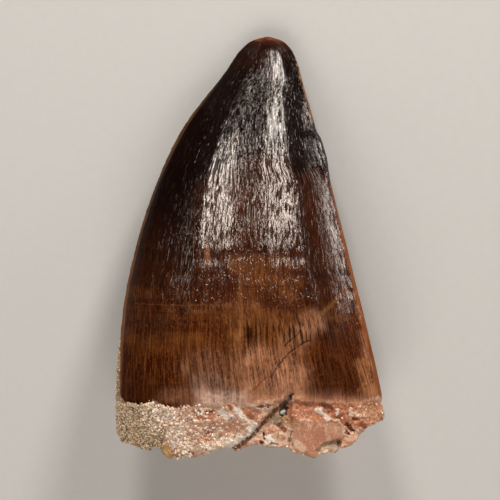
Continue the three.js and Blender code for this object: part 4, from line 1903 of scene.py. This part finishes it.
@dataclass
class Pebble:
    """The pale pebble caught at the top of the root's crack."""

    plan: Plan
    at: tuple[float, float, float] = (4.35, 6.55, 22.75)
    half_size: tuple[float, float, float] = (0.42, 0.29, 0.28)
    turn: float = 0.5
    lump_cells: Point = (0.35, 0.35, 0.35)
    lump_height: float = 0.07

    def build(self) -> bpy.types.Object:
        """Makes the pebble.

        Returns:
            The pebble's object.
        """
        bpy.ops.object.select_all(action="DESELECT")
        bpy.ops.mesh.primitive_ico_sphere_add(subdivisions=4, radius=MM)
        piece = bpy.context.object
        piece.name = "pebble"
        bpy.ops.object.mode_set(mode="EDIT")
        bpy.ops.transform.resize(value=self.half_size)
        bpy.ops.transform.rotate(value=-self.turn, orient_axis="Z", center_override=(0.0, 0.0, 0.0))
        bpy.ops.transform.translate(value=self.plan.to_frame(*self.at))
        bpy.ops.object.mode_set(mode="OBJECT")
        Bench.raise_by(piece, self.lump_height * noise_at(self.plan.of(piece), self.lump_cells, 11.0))
        bpy.ops.object.shade_smooth()
        return piece


@dataclass(frozen=True)
class PebbleFinish:
    """Pale grey weathered stone."""

    pale: Colour = rgb(0.5, 0.48, 0.42)
    grey: Colour = rgb(0.3, 0.29, 0.26)
    roughness: float = 0.7

    def make(self) -> bpy.types.Material:
        """Builds the material.

        Returns:
            The material.
        """
        graph = Graph("pebble_stone")
        place = graph.own_place()
        mottle = graph.noise(place, 2500.0, 4.0, 0.7)
        colour = graph.mix(mottle.rise(0.35, 0.65), self.grey, self.pale)
        return graph.finish(
            {"Roughness": self.roughness},
            {"Base Color": colour, "Normal": graph.bump(mottle, 0.05 * MM)},
        )


class Side(Enum):
    """Where a light stands, as a turn from the tip's direction in degrees, positive to the right."""

    LEFT = -60.0
    TIP_LEFT = -12.0
    TIP_RIGHT = 23.0
    RIGHT = 57.0
    ROOT = 188.0


@dataclass(frozen=True)
class SoftBox:
    """A rectangular studio light that faces the tooth."""

    side: Side
    height: float
    distance: float
    width: float
    depth: float
    roll: float
    radiance: float
    colour: tuple[float, float, float] = (1.0, 0.95, 0.9)

    def place(self) -> None:
        """Adds the light."""
        turn, rise = math.radians(self.side.value), math.radians(self.height)
        away = Vector((math.sin(turn) * math.cos(rise), math.cos(turn) * math.cos(rise), math.sin(rise)))
        bpy.ops.object.light_add(type="AREA", location=away * self.distance)
        light = bpy.context.object
        light.name = "softbox_" + self.side.name.lower()
        light.rotation_mode = "QUATERNION"
        rolled = Quaternion((0.0, 0.0, 1.0), math.radians(self.roll))
        light.rotation_quaternion = away.to_track_quat("Z", "Y") @ rolled
        light.data.color = self.colour
        light.data.shape = "RECTANGLE"
        light.data.size, light.data.size_y = self.width, self.depth
        light.data.energy = self.radiance * math.pi * self.width * self.depth


@dataclass
class Studio:
    """The pale floor, the lights and the camera above."""

    plan: Plan
    view: View
    floor_colour: Colour = rgb(0.5, 0.488, 0.468)
    floor_shade: Colour = rgb(0.45, 0.44, 0.42)
    floor_size: float = 4.0
    floor_roughness: float = 0.9
    sky_colour: Colour = rgb(1.0, 0.98, 0.95)
    sky_strength: float = 0.08
    far_limit: float = 10.0
    boxes: Sequence[SoftBox] = (
        SoftBox(Side.LEFT, 8.0, 0.5, 0.14, 0.05, 0.0, 10.0),
        SoftBox(Side.TIP_LEFT, 34.0, 0.5, 0.1, 0.13, 0.0, 37.0),
        SoftBox(Side.TIP_RIGHT, 27.0, 0.5, 0.1, 0.2, 11.0, 33.5),
        SoftBox(Side.RIGHT, 5.3, 0.5, 0.26, 0.055, 31.0, 19.0),
        SoftBox(Side.ROOT, 52.0, 0.8, 0.55, 0.5, 0.0, 4.3),
    )

    def build(self) -> None:
        """Adds the floor, the lights and the camera."""
        self.lay_floor()
        for softbox in self.boxes:
            softbox.place()
        self.light_sky()
        self.set_camera()
        bpy.context.scene.view_settings.view_transform = "Standard"

    def lay_floor(self) -> None:
        """Adds the pale floor that the tooth lies on."""
        bpy.ops.object.select_all(action="DESELECT")
        bpy.ops.mesh.primitive_plane_add(size=self.floor_size)
        floor = bpy.context.object
        floor.name = "floor"
        graph = Graph("floor_paper")
        fibres = graph.noise(graph.own_place(), 900.0, 3.0)
        colour = graph.mix(fibres.rise(0.3, 0.7) * 0.2, self.floor_colour, self.floor_shade)
        constants = {"Roughness": self.floor_roughness, "Specular IOR Level": 0.2}
        floor.data.materials.append(graph.finish(constants, {"Base Color": colour}))

    def light_sky(self) -> None:
        """Adds a little even light from all round."""
        world = bpy.data.worlds.new("studio")
        world.use_nodes = True
        background = world.node_tree.nodes["Background"]
        background.inputs["Color"].default_value = self.sky_colour
        background.inputs["Strength"].default_value = self.sky_strength
        bpy.context.scene.world = world

    def set_camera(self) -> None:
        """Sets the camera straight above, with the tip towards the top of the picture."""
        data = bpy.data.cameras.new("camera")
        data.lens, data.sensor_width = self.view.lens, self.view.sensor
        data.clip_end = self.far_limit
        camera = bpy.data.objects.new("camera", data)
        bpy.context.scene.collection.objects.link(camera)
        camera.location = self.plan.to_frame(*self.view.centre, self.view.focus_height + self.view.distance)
        bpy.context.scene.camera = camera


def face_shares(piece: bpy.types.Object, shares: np.ndarray) -> np.ndarray:
    """The mean of a value at each face's corners.

    Args:
        piece: The object.
        shares: One value per vertex.

    Returns:
        One value per face.
    """
    return np.array([shares[list(polygon.vertices)].mean() for polygon in piece.data.polygons])


def crust_share(plan: Plan, crust: bpy.types.Object) -> np.ndarray:
    """Where sand grains lie on the crust: all over its outer side and its broken end.

    Args:
        plan: The tooth's measure.
        crust: The crust's mesh.

    Returns:
        How thickly grains lie at each face, from 0 to 1.
    """
    places = plan.of(crust)
    middle, _, height, _ = plan.section(places[:, 1])
    outward = np.stack([places[:, 0] - middle, np.full(len(places), -2.0), places[:, 2] - height], axis=1)
    outward /= np.linalg.norm(outward, axis=1)[:, None]
    return face_shares(crust, smoothstep((Bench.facings(crust) * outward).sum(1), 0.0, 0.3))


def grit_share(plan: Plan, rim: EnamelRim, view: View, tooth: bpy.types.Object) -> np.ndarray:
    """Where pale grit lies on the root: thick beside the crust and thin elsewhere.

    Args:
        plan: The tooth's measure.
        rim: The enamel's rim.
        view: The camera's place.
        tooth: The tooth's mesh.

    Returns:
        How thickly grit lies at each face, from 0 to 1. None lies on the plate, on the clump or in the crack.
    """
    places, facing = plan.of(tooth), Bench.facings(tooth)
    canvas = Canvas(view, places, facing)
    bare = smoothstep(-rim.gap(plan, places), 0.1, 0.5)
    plate = Touch(((298, 425), (340, 426), (338, 438), (312, 452), (298, 444)), 1.0, None, filled=True)
    crack = patch(((291, 396), (272, 416), (252, 438), (240, 447)), 2.5, 1.0, 1.2)
    clump = patch(((161, 448), (170, 455)), 5.0, 1.0, 1.2)
    left = 1.0 - smoothstep(canvas.points[:, 0], 185.0, 260.0)
    clear = canvas.cover((plate, crack, clump))
    return face_shares(tooth, bare * (1.0 - clear) * (0.12 + 0.88 * canvas.seen * left))


def coarse_share(plan: Plan, rim: EnamelRim, view: View, piece: bpy.types.Object) -> np.ndarray:
    """Where the coarse white grains lie: beside the fine sand and in a cluster over the enamel's rim.

    Args:
        plan: The tooth's measure.
        rim: The enamel's rim.
        view: The camera's place.
        piece: The mesh that carries them.

    Returns:
        How thickly they lie at each face, from 0 to 1.
    """
    canvas = Canvas(view, plan.of(piece), Bench.facings(piece))
    beside = patch(((154, 415), (166, 419), (174, 430), (184, 446)), 7.0, 1.0, 9.0)
    cluster = patch(((145, 405.5), (158, 406), (169, 409), (174, 412)), 1.5, 1.0, 2.0)
    thin = patch(((190, 414), (200, 430), (215, 440)), 6.0, 0.4, 14.0)
    below = 1.0 - smoothstep(rim.gap(plan, plan.of(piece)), -0.05, 0.2)
    return face_shares(piece, canvas.marks((beside, cluster, thin)) * below)


def main() -> None:
    """Builds the tooth, its crust, grains and pebble, and the studio round them."""
    logging.basicConfig(level=logging.INFO, format="%(name)s: %(message)s")
    plan, rim, view = Plan(), EnamelRim(), View()
    tooth = Tooth(plan, rim, view).build()
    Bench.dress(tooth, ToothFinish().make(plan), "tooth", "tooth")
    crust = SandCrust(plan).build()
    Bench.dress(crust, CementFinish().make(), "matrix_crust", "sandy_matrix")
    grain_finish = GrainFinish().make()
    sand = Grains("sand_grains", SAND, per_square_mm=24.0, smallest=0.15, largest=0.3, sunk=0.35, seed=7)
    Bench.dress(sand.build(crust, crust_share(plan, crust)), grain_finish, None, "sandy_matrix")
    grit = Grains("root_grit", BONE_GRIT, per_square_mm=6.5, smallest=0.16, largest=0.36, sunk=0.5, seed=8)
    Bench.dress(grit.build(tooth, grit_share(plan, rim, view, tooth)), grain_finish, None, "tooth")
    for ground, seed in ((tooth, 11), (crust, 12)):
        name = "coarse_grains_%d" % seed
        coarse = Grains(name, COARSE, per_square_mm=17.0, smallest=0.2, largest=0.5, sunk=0.5, seed=seed)
        grains = coarse.build(ground, coarse_share(plan, rim, view, ground))
        Bench.dress(grains, grain_finish, None, "sandy_matrix")
    Bench.dress(Pebble(plan).build(), PebbleFinish().make(), None, "sandy_matrix")
    Studio(plan, view).build()


if __name__ == "__main__":
    main()
